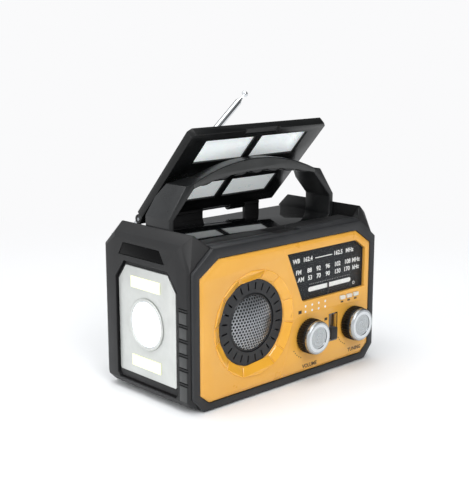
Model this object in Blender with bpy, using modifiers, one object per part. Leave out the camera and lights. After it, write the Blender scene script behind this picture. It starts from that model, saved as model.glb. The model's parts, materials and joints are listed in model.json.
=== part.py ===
"""A portable emergency radio: hand crank, flip-up solar lid, end lamp, tuning dial and folding handle.

The origin is the centre of the footprint, on the plane that the base pad rests on. The front faces -Y.
All sizes are in metres. Z values are heights above that plane.
"""

import math

import bmesh
import bpy
from mathutils import Matrix, Vector

# Clearances
GAP = 0.0003
RUNNING_GAP = 0.0003
OVERLAP = 0.0004
CUT_REACH = 0.0100

# Whole body
BODY_WIDTH = 0.2000
BODY_DEPTH = 0.1030
BODY_HEIGHT = 0.1204
PAD_PROUD = 0.0010
LEFT = -BODY_WIDTH / 2
RIGHT = BODY_WIDTH / 2
FRONT = -BODY_DEPTH / 2
BACK = BODY_DEPTH / 2

# Front bezel and the coloured front panel
BEZEL_THICKNESS = 0.0028
BEZEL_TOP_CHAMFER = (0.0191, 0.0151)
BEZEL_BOTTOM_CHAMFER = (0.0098, 0.0107)
SKIRT_LENGTH = 0.0074
SKIRT_WALL = 0.0025
BAND_HEIGHT = 0.0018
BAND_SLOPE_DEPTH = 0.0048
SEAT_THICKNESS = 0.0020
SEAT_WIDTH = 0.0040
PANEL_SIDE_MARGIN = 0.0065
PANEL_TOP_MARGIN = 0.0079
PANEL_BOTTOM_MARGIN = 0.0060
PANEL_TOP_CHAMFER = (0.0183, 0.0120)
PANEL_BOTTOM_CHAMFER = (0.0085, 0.0068)
PANEL_THICKNESS = 0.0030
PANEL_PROUD = 0.0008
PANEL_GAP = 0.0004

# Main shell and deck
SHELL_SIDE_INSET = 0.0060
SHELL_WALL = 0.0025
SHELL_TOP_DROP = 0.0017
RAIL_END_INSET = 0.0194
RAIL_DEPTH = 0.0133
DECK_THICKNESS = 0.0022
DECK_SIDE_INSET = 0.0165
DECK_BACK_INSET = 0.0100
NOTCH_WIDTH = 0.0280
NOTCH_FRONT = 0.0040
NOTCH_BACK = 0.0210
PAD_THICKNESS = 0.0019
PAD_STRIP_WIDTH = 0.0080
PAD_BRIDGE_WIDTH = 0.0160
PAD_END_INSET = 0.0300
PAD_EDGE_INSET = 0.0140

# Rear cover, crank and dynamo
COVER_THICKNESS = 0.0030
DISH_RADIUS = 0.0480
DISH_DEPTH = 0.0100
DISH_FLOOR = 0.0020
CRANK_FROM_RIGHT = 0.0850
CRANK_HEIGHT = 0.0575
CRANK_ARM_LENGTH = 0.0380
CRANK_ARM_THICKNESS = 0.0050
CRANK_ARM_WIDTH = 0.0120
CRANK_SHAFT_RADIUS = 0.0040
CRANK_SHAFT_LENGTH = 0.0160
CRANK_KNOB_RADIUS = 0.0065
CRANK_KNOB_LENGTH = 0.0120
CRANK_PIN_RADIUS = 0.0020
CRANK_KNOB_WALL = 0.0015
GEAR_BEHIND_DISH = 0.0040
DYNAMO_BEHIND_GEAR = 0.0020
DYNAMO_SHAFT_SEAT = 0.0080
ARC_STEPS = 8
GEAR_MODULE = 0.0010
GEAR_TEETH = 40
PINION_TEETH = 12
GEAR_WIDTH = 0.0050
GEAR_BACKLASH = 0.0002
DYNAMO_RADIUS = 0.0160
DYNAMO_LENGTH = 0.0280
DYNAMO_SHAFT_RADIUS = 0.0015
SCREW_RADIUS = 0.0016
SCREW_HEAD_RADIUS = 0.0030
SCREW_HEAD_HEIGHT = 0.0012
SCREW_LENGTH = 0.0060
SCREW_INSET = 0.0120

# End caps
CAP_PROUD = 0.0020
RIDGE_HEIGHT = 0.0096
RIDGE_INNER = 0.0096
RIDGE_WIDTH = 0.0012
CAP_WALL = 0.0028
LAMP_OPENING_FRONT = 0.0155
LAMP_OPENING_BACK = 0.0150
LAMP_OPENING_BOTTOM = 0.0095
LAMP_OPENING_TOP_DROP = 0.0175
LAMP_OPENING_CHAMFER = (0.0105, 0.0135)
LAMP_OPENING_FOOT = (0.0030, 0.0030)
SIGNAL_HEIGHT = 0.0090
SIGNAL_DROP = 0.0039
SIGNAL_DEPTH = 0.0012
SIGNAL_BOTTOM_SPAN = (0.0300, 0.0830)
SIGNAL_TOP_SPAN = (0.0354, 0.0778)

# Lamp in the left end
LAMP_MARGIN_FRONT = 0.0030
LAMP_MARGIN_BACK = 0.0025
LAMP_MARGIN_TOP = 0.0032
LAMP_MARGIN_BOTTOM = 0.0065
LAMP_PLATE_CHAMFER = (0.0090, 0.0120)
LAMP_PLATE_FOOT = (0.0012, 0.0012)
LAMP_PLATE_THICKNESS = 0.0014
LAMP_PLATE_DEPTH = 0.0012
LAMP_CENTRE_Y = 0.0525
LAMP_CENTRE_Z = 0.0577
LAMP_RIM_RADIUS = 0.0200
LAMP_LENS_RADIUS = 0.0172
LAMP_RIM_PROUD = 0.0010
LAMP_RIM_BEVEL = 0.0006
LAMP_RIM_LAND = 0.0010
LAMP_REFLECTOR_DEPTH = 0.0150
LAMP_REFLECTOR_WALL = 0.0012
LAMP_REFLECTOR_STEPS = 5
LAMP_LED_RADIUS = 0.0040
STRIP_LENGTH = 0.0340
STRIP_WIDTH = 0.0087
STRIP_OFFSET = 0.0306
STRIP_PROUD = 0.0006

# Speaker
SPEAKER_FROM_LEFT = 0.0605
SPEAKER_HEIGHT = 0.0575
SPEAKER_CONE_RADIUS = 0.0420
SPEAKER_CONE_DEPTH = 0.0040
SPEAKER_RING_RADIUS = 0.0330
SPEAKER_RING_THICKNESS = 0.0024
SPEAKER_SLOTS = 24
SPEAKER_SLOT_WIDTH = 0.0013
SPEAKER_SLOT_INNER = 0.0028
SPEAKER_SLOT_OUTER = 0.0020
GRILLE_RADIUS = 0.0226
GRILLE_RISE = 0.0042
GRILLE_THICKNESS = 0.0010
GRILLE_STEPS = 5
CONE_DEPTH = 0.0130
CONE_APEX_RADIUS = 0.0060
CONE_MOUTH_RADIUS = 0.0260
BASKET_RADIUS = 0.0290
BASKET_LIP = 0.0020
MAGNET_RADIUS = 0.0180
MAGNET_FRONT = 0.0180
MAGNET_BACK = 0.0280

# Tuning dial, from the right edge
DIAL_RIGHT = 0.0133
DIAL_TOP_DROP = 0.0154
DIAL_BOTTOM = 0.0645
DIAL_TOP_LEFT = 0.1056
DIAL_BOTTOM_LEFT = 0.0882
DIAL_CORNER = (0.0117, 0.0080)
DIAL_CORNER_RADIUS = 0.0040
DIAL_LENS_THICKNESS = 0.0014
DIAL_LENS_RECESS = 0.0003
SCALE_DEPTH = 0.0025
SCALE_THICKNESS = 0.0010
POINTER_FROM_RIGHT = 0.0556
POINTER_WIDTH = 0.0014
POINTER_HEIGHT = 0.0110
POINTER_THICKNESS = 0.0008
POINTER_DEPTH = 0.0013

# Knobs, switch and keys, from the right edge
KNOB_HEIGHT = 0.0365
VOLUME_FROM_RIGHT = 0.0815
TUNING_FROM_RIGHT = 0.0290
KNOB_RADIUS = 0.0140
KNOB_LENGTH = 0.0084
KNOB_RIBS = 30
KNOB_RIB_DEPTH = 0.0007
KNOB_SHAFT_RADIUS = 0.0030
KNOB_SHAFT_LENGTH = 0.0150
KNOB_CAP_RADIUS = 0.0134
KNOB_FACE_RADIUS = 0.0100
KNOB_CAP_THICKNESS = 0.0030
KNOB_CAP_BEVEL = 0.0010
KNOB_FACE_BEVEL = 0.0006
SHAFT_HOLE_CLEARANCE = 0.0006
POT_RADIUS = 0.0085
TUNER_SIDE = 0.0210
CONTROL_DEPTH = 0.0150
SWITCH_FROM_RIGHT = 0.0517
SWITCH_WIDTH = 0.0080
SWITCH_BOTTOM = 0.0266
SWITCH_LENGTH = 0.0210
SLIDER_LENGTH = 0.0096
SLIDER_PROUD = 0.0020
SWITCH_BODY_DEPTH = 0.0060
KEY_COUNT = 3
KEY_FROM_RIGHT = 0.0410
KEY_PITCH = 0.0083
KEY_SIZE = (0.0062, 0.0036)
KEY_HEIGHT = 0.0598
KEY_PROUD = 0.0014

# Inner pieces
BOARD_THICKNESS = 0.0016
BOARD_DEPTH = 0.0260
BOARD_WIDTH = 0.0840
BOARD_SIDE_CLEARANCE = 0.0040
BOARD_TOP_CLEARANCE = 0.0060
FLOOR_CLEARANCE = 0.0030
BATTERY_SIZE = (0.0700, 0.0420, 0.0190)
BATTERY_FROM_LEFT = 0.0200
BATTERY_DEPTH = 0.0400

# Lid, in its closed place before it is turned
LID_SIDE_INSET = 0.0280
LID_HINGE_FROM_BACK = 0.0030
LID_HINGE_RISE = 0.0066
LID_FRONT_CLEARANCE = 0.0010
LID_ABOVE_AXIS = 0.0029
LID_BELOW_AXIS = 0.0041
LID_HEEL = 0.0060
LID_WALL = 0.0055
LID_FLOOR = 0.0021
LID_OPEN_DEG = 48.0
WINDOW_ROWS = ((0.0197, 0.0408), (0.0662, 0.0909))
WINDOW_STRUT = 0.0066
WINDOW_SIDE_RAIL = 0.0178
DIFFUSER_THICKNESS = 0.0012
SOLAR_THICKNESS = 0.0012
SOLAR_RECESS = 0.0003
KNUCKLE_RADIUS = 0.0040
HINGE_PIN_RADIUS = 0.0015
LID_KNUCKLES = ((0.0300, 0.0550), (0.1250, 0.1420))
SHELL_KNUCKLES = ((0.0555, 0.0945), (0.1425, 0.1595))
LATCH_WIDTH = 0.0360
LATCH_LENGTH = 0.0052
LATCH_DEPTH = 0.0018
LID_CORNER = 0.0030

# Handle
HANDLE_SIDE_INSET = 0.0100
HANDLE_THICKNESS = 0.0050
HANDLE_FRONT = 0.0380
HANDLE_LEG_DEPTH = 0.0275
HANDLE_GRIP_DEPTH = 0.0120
HANDLE_SHOULDER_INSET = 0.0265
HANDLE_KNEE_RISE = 0.0171
HANDLE_SHOULDER_RISE = 0.0398
HANDLE_TOP_RISE = 0.0549
HANDLE_ARCH_RADIUS = 0.1570
GRIP_MIDDLE_HEIGHT = 0.0092
GRIP_END_HEIGHT = 0.0034
LOBE_PITCH = 0.0175
LOBE_BULGE = 0.0032
HANDLE_PIVOT_Y = 0.0375
HANDLE_PIVOT_DROP = 0.0069
HANDLE_LUG_RADIUS = 0.0052
HANDLE_PIN_RADIUS = 0.0023
HANDLE_HEAD_RADIUS = 0.0041
HANDLE_PIN_HEAD = 0.0020
HANDLE_SLOT_FRONT = 0.0240
HANDLE_SLOT_CLEARANCE = 0.0007
HANDLE_STEPS = 14
LOBE_STEPS = 40
GRIP_END_INSET = 0.0030
KNEE_STEP = 0.0016
LUG_ARC_DEG = (84, 270)
SHOULDER_DROP = 0.0100
SHOULDER_STEP = (0.0055, 0.0010)
GRIP_START_RISE = 0.0050
GRIP_BEVEL = 0.0020

# Antenna
ANTENNA_FROM_LEFT = 0.0280
ANTENNA_DROP = 0.0054
ANTENNA_BEHIND = 0.0056
ANTENNA_LEAN_DEG = 50.5
ANTENNA_RADII = (0.0029, 0.0021, 0.0014, 0.0008)
ANTENNA_WALL = 0.00045
ANTENNA_TUBE_END = 0.1535
ANTENNA_TUBE_START = 0.0070
ANTENNA_STEP = 0.0022
ANTENNA_TIP_RADIUS = 0.0028
ANTENNA_TIP_LENGTH = 0.0024
FORK_RADIUS = 0.0052
TONGUE_THICKNESS = 0.0040
FORK_BASE = 0.0016
ANTENNA_MOUNT_RADIUS = 0.0068
ANTENNA_MOUNT_THICKNESS = 0.0008

# Charging ports in the right end
PORT_FRONT = 0.0300
PORT_LENGTH = 0.0400
PORT_BOTTOM = 0.0300
PORT_HEIGHT = 0.0180
PORT_COVER_THICKNESS = 0.0018
PORT_COVER_RECESS = 0.0026
PORT_HINGE_RELIEF = 0.0032
PORT_MARGIN = 0.0030
CAP_HOLLOW_MARGIN = 0.0090
CAP_HOLLOW_ENDS = 0.0130
PORT_BLOCK_INSET = 0.0105
SOCKETS = ((-0.0080, (0.0045, 0.0016)), (0.0070, (0.0066, 0.0029)))

# Facets on round pieces
FINE = 48
MEDIUM = 32
COARSE = 16
SHARP_ANGLE = math.radians(30)

SHELL_TOP = BODY_HEIGHT - SHELL_TOP_DROP
BAND_TOP = BODY_HEIGHT + BAND_HEIGHT
SKIRT_FRONT = FRONT + BEZEL_THICKNESS - GAP
SKIRT_BACK = SKIRT_FRONT + GAP + SKIRT_LENGTH
SHELL_FRONT = SKIRT_BACK + GAP
COVER_FRONT = BACK - COVER_THICKNESS
SHELL_BACK = COVER_FRONT - GAP
PANEL_FACE = FRONT - PANEL_PROUD
PANEL_BACK = PANEL_FACE + PANEL_THICKNESS
DECK_BOTTOM = SHELL_TOP + GAP
RIDGE_TOP = BODY_HEIGHT + RIDGE_HEIGHT
HINGE_Y = BACK - LID_HINGE_FROM_BACK
HINGE_Z = BODY_HEIGHT + LID_HINGE_RISE
LID_LENGTH = HINGE_Y - FRONT - LID_FRONT_CLEARANCE
LID_HALF_WIDTH = BODY_WIDTH / 2 - LID_SIDE_INSET

FINISHES = {
    "bezel": ("#5E6166", 0.42, 0.0),
    "body": ("#3A3A3A", 0.50, 0.0),
    "yellow": ("#EFB84E", 0.38, 0.0),
    "gloss_black": ("#0C0D0E", 0.12, 0.0),
    "handle": ("#3E3F40", 0.40, 0.0),
    "silver": ("#C9CAC5", 0.35, 0.6),
    "chrome": ("#D8DCDC", 0.12, 1.0),
    "lens": ("#F2F6FA", 0.05, 0.0),
    "lamp": ("#FBFFDC", 0.40, 0.0),
    "solar": ("#0B1626", 0.15, 0.1),
    "diffuser": ("#E8EBEB", 0.45, 0.0),
    "board": ("#1E5B33", 0.55, 0.0),
    "battery": ("#2F6FB0", 0.45, 0.0),
    "steel": ("#9FA2A5", 0.30, 1.0),
    "nylon": ("#E9E5D8", 0.50, 0.0),
    "rubber": ("#232323", 0.85, 0.0),
}


# ---- Scene and helpers

def clear_scene():
    for obj in list(bpy.data.objects):
        bpy.data.objects.remove(obj)


def linear(channel):
    return channel / 12.92 if channel <= 0.04045 else ((channel + 0.055) / 1.055) ** 2.4


def make_material(name, finish):
    colour, roughness, metallic = FINISHES[finish]
    material = bpy.data.materials.new(name)
    material.use_nodes = True
    shader = material.node_tree.nodes["Principled BSDF"]
    channels = [int(colour[i:i + 2], 16) / 255 for i in (1, 3, 5)]
    shader.inputs["Base Color"].default_value = (*map(linear, channels), 1)
    shader.inputs["Roughness"].default_value = roughness
    shader.inputs["Metallic"].default_value = metallic
    return material


def make_collection(name):
    collection = bpy.data.collections.new(name)
    bpy.context.scene.collection.children.link(collection)
    return collection


def from_bmesh(name, bm):
    mesh = bpy.data.meshes.new(name)
    bm.to_mesh(mesh)
    bm.free()
    return place(name, mesh)


def place(name, mesh):
    obj = bpy.data.objects.new(name, mesh)
    bpy.data.collections["helpers"].objects.link(obj)
    obj.hide_render = True
    obj.display_type = "WIRE"
    return obj


def piece(obj, finish):
    """Makes an object one of the radio's own pieces."""
    bpy.data.collections["helpers"].objects.unlink(obj)
    bpy.data.collections["radio"].objects.link(obj)
    obj.hide_render = False
    obj.display_type = "TEXTURED"
    obj.data.materials.clear()
    obj.data.materials.append(make_material(obj.name, finish))
    return obj


def realised(name, carrier):
    """A welded mesh object from an evaluated curve or modifier stack, which is removed."""
    bpy.context.view_layer.update()
    graph = bpy.context.evaluated_depsgraph_get()
    mesh = bpy.data.meshes.new_from_object(carrier.evaluated_get(graph))
    bpy.data.objects.remove(carrier)
    bm = bmesh.new()
    bm.from_mesh(mesh)
    bmesh.ops.remove_doubles(bm, verts=bm.verts, dist=1e-6)
    bmesh.ops.recalc_face_normals(bm, faces=bm.faces)
    bm.to_mesh(mesh)
    bm.free()
    return place(name, mesh)


def on_plane(axis, at=(0, 0, 0)):
    """Maps a flat outline's plane, drawn in X and Y, to the plane that faces an axis."""
    turns = {
        "X": Matrix(((0, 0, 1), (1, 0, 0), (0, 1, 0))),
        "Y": Matrix(((1, 0, 0), (0, 0, -1), (0, 1, 0))),
        "Z": Matrix.Identity(3),
    }
    return Matrix.Translation(at) @ turns[axis].to_4x4()


def slab(name, loops, axis, low, high):
    """A flat outline, with any further loops as holes, from low to high along an axis."""
    curve = bpy.data.curves.new(name, "CURVE")
    curve.dimensions = "2D"
    curve.fill_mode = "BOTH"
    curve.extrude = (high - low) / 2
    for loop in loops:
        spline = curve.splines.new("POLY")
        spline.points.add(len(loop) - 1)
        for point, (u, v) in zip(spline.points, loop):
            point.co = (u, v, 0, 1)
        spline.use_cyclic_u = True
    carrier = bpy.data.objects.new(name, curve)
    bpy.context.scene.collection.objects.link(carrier)
    obj = realised(name, carrier)
    middle = [(low + high) / 2 if letter == axis else 0 for letter in "XYZ"]
    obj.data.transform(on_plane(axis, middle))
    return obj


def box(name, low, high):
    bm = bmesh.new()
    bmesh.ops.create_cube(bm, size=1)
    low, high = Vector(low), Vector(high)
    size = Matrix.Diagonal((*(high - low), 1))
    bmesh.ops.transform(bm, matrix=Matrix.Translation((low + high) / 2) @ size, verts=bm.verts)
    return from_bmesh(name, bm)


def cylinder(name, axis, centre, radius, low, high, steps=MEDIUM):
    """A cylinder along an axis. The centre gives its two other coordinates, in X, Y, Z order."""
    bm = bmesh.new()
    bmesh.ops.create_cone(bm, cap_ends=True, segments=steps, radius1=radius, radius2=radius, depth=high - low)
    spots = iter(centre)
    middle = [(low + high) / 2 if letter == axis else next(spots) for letter in "XYZ"]
    bmesh.ops.transform(bm, matrix=on_plane(axis, middle), verts=bm.verts)
    return from_bmesh(name, bm)


def turned(name, profile, axis_frame, steps=MEDIUM, ring=False):
    """A profile of (radius, height) points turned about the frame's Z axis."""
    mesh = bpy.data.meshes.new(name)
    edges = [(i, i + 1) for i in range(len(profile) - 1)]
    if ring:
        edges.append((len(profile) - 1, 0))
    mesh.from_pydata([(radius, 0, height) for radius, height in profile], edges, [])
    carrier = bpy.data.objects.new(name, mesh)
    bpy.context.scene.collection.objects.link(carrier)
    screw = carrier.modifiers.new("turn", "SCREW")
    screw.axis = "Z"
    screw.steps = steps
    screw.render_steps = steps
    screw.use_merge_vertices = True
    screw.merge_threshold = 0.000001
    obj = realised(name, carrier)
    obj.data.transform(axis_frame)
    obj.data.shade_smooth()
    obj.data.set_sharp_from_angle(angle=SHARP_ANGLE)
    return obj


def hull(name, points):
    bm = bmesh.new()
    for point in points:
        bm.verts.new(point)
    bmesh.ops.convex_hull(bm, input=bm.verts)
    bmesh.ops.delete(bm, geom=[v for v in bm.verts if not v.link_faces], context="VERTS")
    bmesh.ops.dissolve_limit(bm, angle_limit=math.radians(0.5), verts=bm.verts, edges=bm.edges)
    bmesh.ops.recalc_face_normals(bm, faces=bm.faces)
    return from_bmesh(name, bm)


def combine(target, others, operation):
    for other in others:
        modifier = target.modifiers.new(other.name, "BOOLEAN")
        modifier.operation = operation
        modifier.object = other
    return target


def cut(target, *others):
    return combine(target, others, "DIFFERENCE")


def join(target, *others):
    return combine(target, others, "UNION")


def facing_front(x, y, z):
    """A turning frame whose Z axis points to the front, out of the radio."""
    return Matrix.Translation((x, y, z)) @ Matrix.Rotation(math.radians(90), 4, "X")


def facing_back(x, y, z):
    return Matrix.Translation((x, y, z)) @ Matrix.Rotation(math.radians(-90), 4, "X")


def facing_left(x, y, z):
    return Matrix.Translation((x, y, z)) @ Matrix.Rotation(math.radians(-90), 4, "Y")


def origin_at(obj, point):
    """Moves an object's origin to its joint's axis, with its shape left in place."""
    obj.data.transform(Matrix.Translation(-Vector(point)))
    obj.location = point
    return obj


def stood(obj, matrix):
    """Stands an object, with what cuts it or joins it, in a joint's own frame."""
    obj.matrix_world = matrix
    for modifier in obj.modifiers:
        modifier.object.matrix_world = matrix
    return obj


def circle(centre, radius, steps=MEDIUM):
    angles = [2 * math.pi * i / steps for i in range(steps)]
    return [(centre[0] + radius * math.cos(a), centre[1] + radius * math.sin(a)) for a in angles]


def rectangle(low, high):
    return [(low[0], low[1]), (high[0], low[1]), (high[0], high[1]), (low[0], high[1])]


def chamfered(low, high, top, bottom):
    """An upright outline with its two top and two bottom corners cut, each by (width, height)."""
    (left, base), (right, peak) = low, high
    return [
        (left + bottom[0], base), (right - bottom[0], base), (right, base + bottom[1]),
        (right, peak - top[1]), (right - top[0], peak), (left + top[0], peak),
        (left, peak - top[1]), (left, base + bottom[1]),
    ]


def fillet(before, corner, after, radius, steps=4):
    """Points of an arc that rounds a corner of an outline."""
    corner = Vector(corner)
    back = (Vector(before) - corner).normalized()
    ahead = (Vector(after) - corner).normalized()
    half = back.angle(ahead) / 2
    centre = corner + (back + ahead).normalized() * (radius / math.sin(half))
    start = corner + back * (radius / math.tan(half)) - centre
    turn = (math.pi - 2 * half) / steps
    turn = turn if back.cross(ahead) < 0 else -turn
    return [tuple(centre + Matrix.Rotation(turn * i, 2) @ start) for i in range(steps + 1)]


def grown(outline, by):
    """An outline, drawn anticlockwise, with each side moved outwards."""
    count = len(outline)
    sides = []
    for i in range(count):
        start, end = Vector(outline[i]), Vector(outline[(i + 1) % count])
        along = (end - start).normalized()
        out = Vector((along.y, -along.x))
        sides.append((start + out * by, along))
    corners = []
    for i in range(count):
        (p, a), (q, b) = sides[i - 1], sides[i]
        cross = a.x * b.y - a.y * b.x
        step = ((q - p).x * b.y - (q - p).y * b.x) / cross
        corners.append(tuple(p + a * step))
    return corners


# ---- Front

def bezel_outline():
    return chamfered((LEFT, PAD_PROUD), (RIGHT, BODY_HEIGHT), BEZEL_TOP_CHAMFER, BEZEL_BOTTOM_CHAMFER)


def skirt_outline():
    """The bezel's outline, cut off at the sides where the end caps wrap round it."""
    def cut_chamfer(chamfer):
        return (chamfer[0] - SHELL_SIDE_INSET, chamfer[1] * (1 - SHELL_SIDE_INSET / chamfer[0]))
    low = (LEFT + SHELL_SIDE_INSET, PAD_PROUD)
    high = (RIGHT - SHELL_SIDE_INSET, BODY_HEIGHT)
    return chamfered(low, high, cut_chamfer(BEZEL_TOP_CHAMFER), cut_chamfer(BEZEL_BOTTOM_CHAMFER))


def panel_outline():
    low = (LEFT + PANEL_SIDE_MARGIN, PAD_PROUD + PANEL_BOTTOM_MARGIN)
    high = (RIGHT - PANEL_SIDE_MARGIN, BODY_HEIGHT - PANEL_TOP_MARGIN)
    return chamfered(low, high, PANEL_TOP_CHAMFER, PANEL_BOTTOM_CHAMFER)


def dial_outline():
    """Anticlockwise from the rounded bottom left, with a slanted left side and a cut top right corner."""
    top = BODY_HEIGHT - DIAL_TOP_DROP
    right = RIGHT - DIAL_RIGHT
    top_left = (RIGHT - DIAL_TOP_LEFT, top)
    bottom_right = (right, DIAL_BOTTOM)
    corner = fillet(top_left, (RIGHT - DIAL_BOTTOM_LEFT, DIAL_BOTTOM), bottom_right, DIAL_CORNER_RADIUS)
    return corner + [bottom_right, (right, top - DIAL_CORNER[1]), (right - DIAL_CORNER[0], top), top_left]


def speaker_centre():
    return (LEFT + SPEAKER_FROM_LEFT, SPEAKER_HEIGHT)


def knob_centres():
    return {
        "volume": (RIGHT - VOLUME_FROM_RIGHT, KNOB_HEIGHT),
        "tuning": (RIGHT - TUNING_FROM_RIGHT, KNOB_HEIGHT),
    }


def switch_slot():
    middle = RIGHT - SWITCH_FROM_RIGHT
    low = (middle - SWITCH_WIDTH / 2, SWITCH_BOTTOM)
    return low, (middle + SWITCH_WIDTH / 2, SWITCH_BOTTOM + SWITCH_LENGTH)


def key_rectangle(index):
    middle = RIGHT - KEY_FROM_RIGHT + index * KEY_PITCH
    half = (KEY_SIZE[0] / 2, KEY_SIZE[1] / 2)
    return (middle - half[0], KEY_HEIGHT - half[1]), (middle + half[0], KEY_HEIGHT + half[1])


def latch_notch(name):
    low = (-NOTCH_WIDTH / 2, FRONT + NOTCH_FRONT, DECK_BOTTOM)
    return box(name, low, (NOTCH_WIDTH / 2, FRONT + NOTCH_BACK, BAND_TOP + CUT_REACH))


def make_front_bezel():
    opening = grown(panel_outline(), PANEL_GAP)
    plate = slab("front_bezel", [bezel_outline(), opening], "Y", FRONT, FRONT + BEZEL_THICKNESS)
    inner = grown(skirt_outline(), -SKIRT_WALL)
    skirt = slab("bezel_skirt", [skirt_outline(), inner], "Y", SKIRT_FRONT, SKIRT_BACK)
    seat_loops = [grown(inner, OVERLAP), grown(panel_outline(), -SEAT_WIDTH)]
    seat = slab("bezel_seat", seat_loops, "Y", SKIRT_FRONT, SKIRT_FRONT + SEAT_THICKNESS)
    band_back = SKIRT_BACK - GAP / 3
    band_profile = [
        (FRONT + OVERLAP, BODY_HEIGHT - SKIRT_WALL / 2), (band_back, BODY_HEIGHT - SKIRT_WALL / 2),
        (band_back, BAND_TOP), (FRONT + BAND_SLOPE_DEPTH, BAND_TOP),
        (FRONT + OVERLAP, BODY_HEIGHT + BAND_HEIGHT * OVERLAP / BAND_SLOPE_DEPTH),
    ]
    band = slab("bezel_band", [band_profile], "X", LEFT + RAIL_END_INSET, RIGHT - RAIL_END_INSET)
    join(plate, skirt, seat, band)
    cut(plate, latch_notch("bezel_notch"))
    piece(plate, "bezel")


def make_front_panel():
    loops = [panel_outline(), dial_outline(), rectangle(*switch_slot())]
    hole = KNOB_SHAFT_RADIUS + SHAFT_HOLE_CLEARANCE
    loops += [circle(centre, hole, COARSE) for centre in knob_centres().values()]
    panel = slab("front_panel", loops, "Y", PANEL_FACE, PANEL_BACK)
    x, z = speaker_centre()
    depth = SPEAKER_CONE_DEPTH + SPEAKER_RING_THICKNESS
    boss = cylinder("speaker_boss", "Y", (x, z), SPEAKER_CONE_RADIUS + SEAT_THICKNESS,
                    PANEL_BACK - OVERLAP, PANEL_FACE + depth, FINE)
    throat = SPEAKER_RING_RADIUS + GAP
    rise = OVERLAP * (SPEAKER_CONE_RADIUS - throat) / SPEAKER_CONE_DEPTH
    cone = turned("speaker_recess", [
        (0, OVERLAP), (SPEAKER_CONE_RADIUS + rise, OVERLAP),
        (throat, -SPEAKER_CONE_DEPTH), (throat, -depth - OVERLAP), (0, -depth - OVERLAP),
    ], facing_front(x, PANEL_FACE, z), FINE)
    join(panel, boss)
    cut(panel, cone)
    for i in range(KEY_COUNT):
        (left, base), (right, peak) = key_rectangle(i)
        hole = box("key_hole", (left, PANEL_FACE - GAP, base), (right, PANEL_BACK + GAP, peak))
        cut(panel, hole)
    piece(panel, "yellow")


def speaker_slot(angle, inner, outer, width):
    """One radial slot's outline about the speaker's centre."""
    along = Vector((math.cos(angle), math.sin(angle)))
    across = Vector((-along.y, along.x)) * (width / 2)
    centre = Vector(speaker_centre())
    corners = [along * inner - across, along * outer - across, along * outer + across, along * inner + across]
    return [tuple(centre + corner) for corner in corners]


def make_speaker():
    x, z = speaker_centre()
    face = PANEL_FACE + SPEAKER_CONE_DEPTH
    back = face + SPEAKER_RING_THICKNESS
    loops = [circle((x, z), SPEAKER_RING_RADIUS, FINE), circle((x, z), GRILLE_RADIUS + GAP, FINE)]
    for i in range(SPEAKER_SLOTS):
        angle = 2 * math.pi * (i + 0.5) / SPEAKER_SLOTS
        loops.append(speaker_slot(angle, GRILLE_RADIUS + SPEAKER_SLOT_INNER,
                                  SPEAKER_RING_RADIUS - SPEAKER_SLOT_OUTER,
                                  SPEAKER_SLOT_WIDTH))
    piece(slab("speaker_ring", loops, "Y", face, back), "body")

    dome = []
    sphere = (GRILLE_RADIUS ** 2 + GRILLE_RISE ** 2) / (2 * GRILLE_RISE)
    span = math.asin(GRILLE_RADIUS / sphere)
    rows = GRILLE_STEPS
    for thickness, order in ((GRILLE_THICKNESS, range(rows + 1)), (0, range(rows, -1, -1))):
        for i in order:
            angle = span * i / rows
            radius = sphere - GRILLE_THICKNESS + thickness
            dome.append((radius * math.sin(angle), radius * math.cos(angle) - sphere * math.cos(span)))
    grille = turned("speaker_grille", dome, facing_front(x, face + GRILLE_THICKNESS, z), FINE)
    piece(grille, "silver")

    rim = SPEAKER_RING_RADIUS - GRILLE_THICKNESS
    driver = turned("speaker_driver", [
        (0, -CONE_DEPTH - GRILLE_THICKNESS), (CONE_APEX_RADIUS, -CONE_DEPTH - GRILLE_THICKNESS),
        (CONE_MOUTH_RADIUS, -GRILLE_THICKNESS), (CONE_MOUTH_RADIUS + GRILLE_THICKNESS, 0), (rim, 0),
        (rim, -BASKET_LIP), (BASKET_RADIUS, -BASKET_LIP), (MAGNET_RADIUS, -MAGNET_FRONT),
        (MAGNET_RADIUS - OVERLAP, -MAGNET_BACK), (0, -MAGNET_BACK),
    ], facing_front(x, back + GAP, z), MEDIUM)
    piece(driver, "steel")


def make_dial():
    lens = slab("dial_window", [grown(dial_outline(), -GAP)], "Y", PANEL_FACE + DIAL_LENS_RECESS,
                PANEL_FACE + DIAL_LENS_RECESS + DIAL_LENS_THICKNESS)
    piece(lens, "lens")
    scale = slab("dial_scale", [grown(dial_outline(), SEAT_THICKNESS)], "Y", FRONT + SCALE_DEPTH,
                 FRONT + SCALE_DEPTH + SCALE_THICKNESS)
    piece(scale, "gloss_black")
    middle = RIGHT - POINTER_FROM_RIGHT
    low = (middle - POINTER_WIDTH / 2, FRONT + POINTER_DEPTH, DIAL_BOTTOM + GAP)
    high = (middle + POINTER_WIDTH / 2, low[1] + POINTER_THICKNESS, DIAL_BOTTOM + POINTER_HEIGHT)
    pointer = piece(box("dial_pointer", low, high), "rubber")
    origin_at(pointer, (middle, low[1], DIAL_BOTTOM))


def ribbed_circle(centre, radius, ribs, depth):
    outline = []
    for i in range(ribs * 4):
        reach = radius if i % 4 < 2 else radius - depth
        angle = 2 * math.pi * i / (ribs * 4)
        outline.append((centre[0] + reach * math.cos(angle), centre[1] + reach * math.sin(angle)))
    return outline


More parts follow.
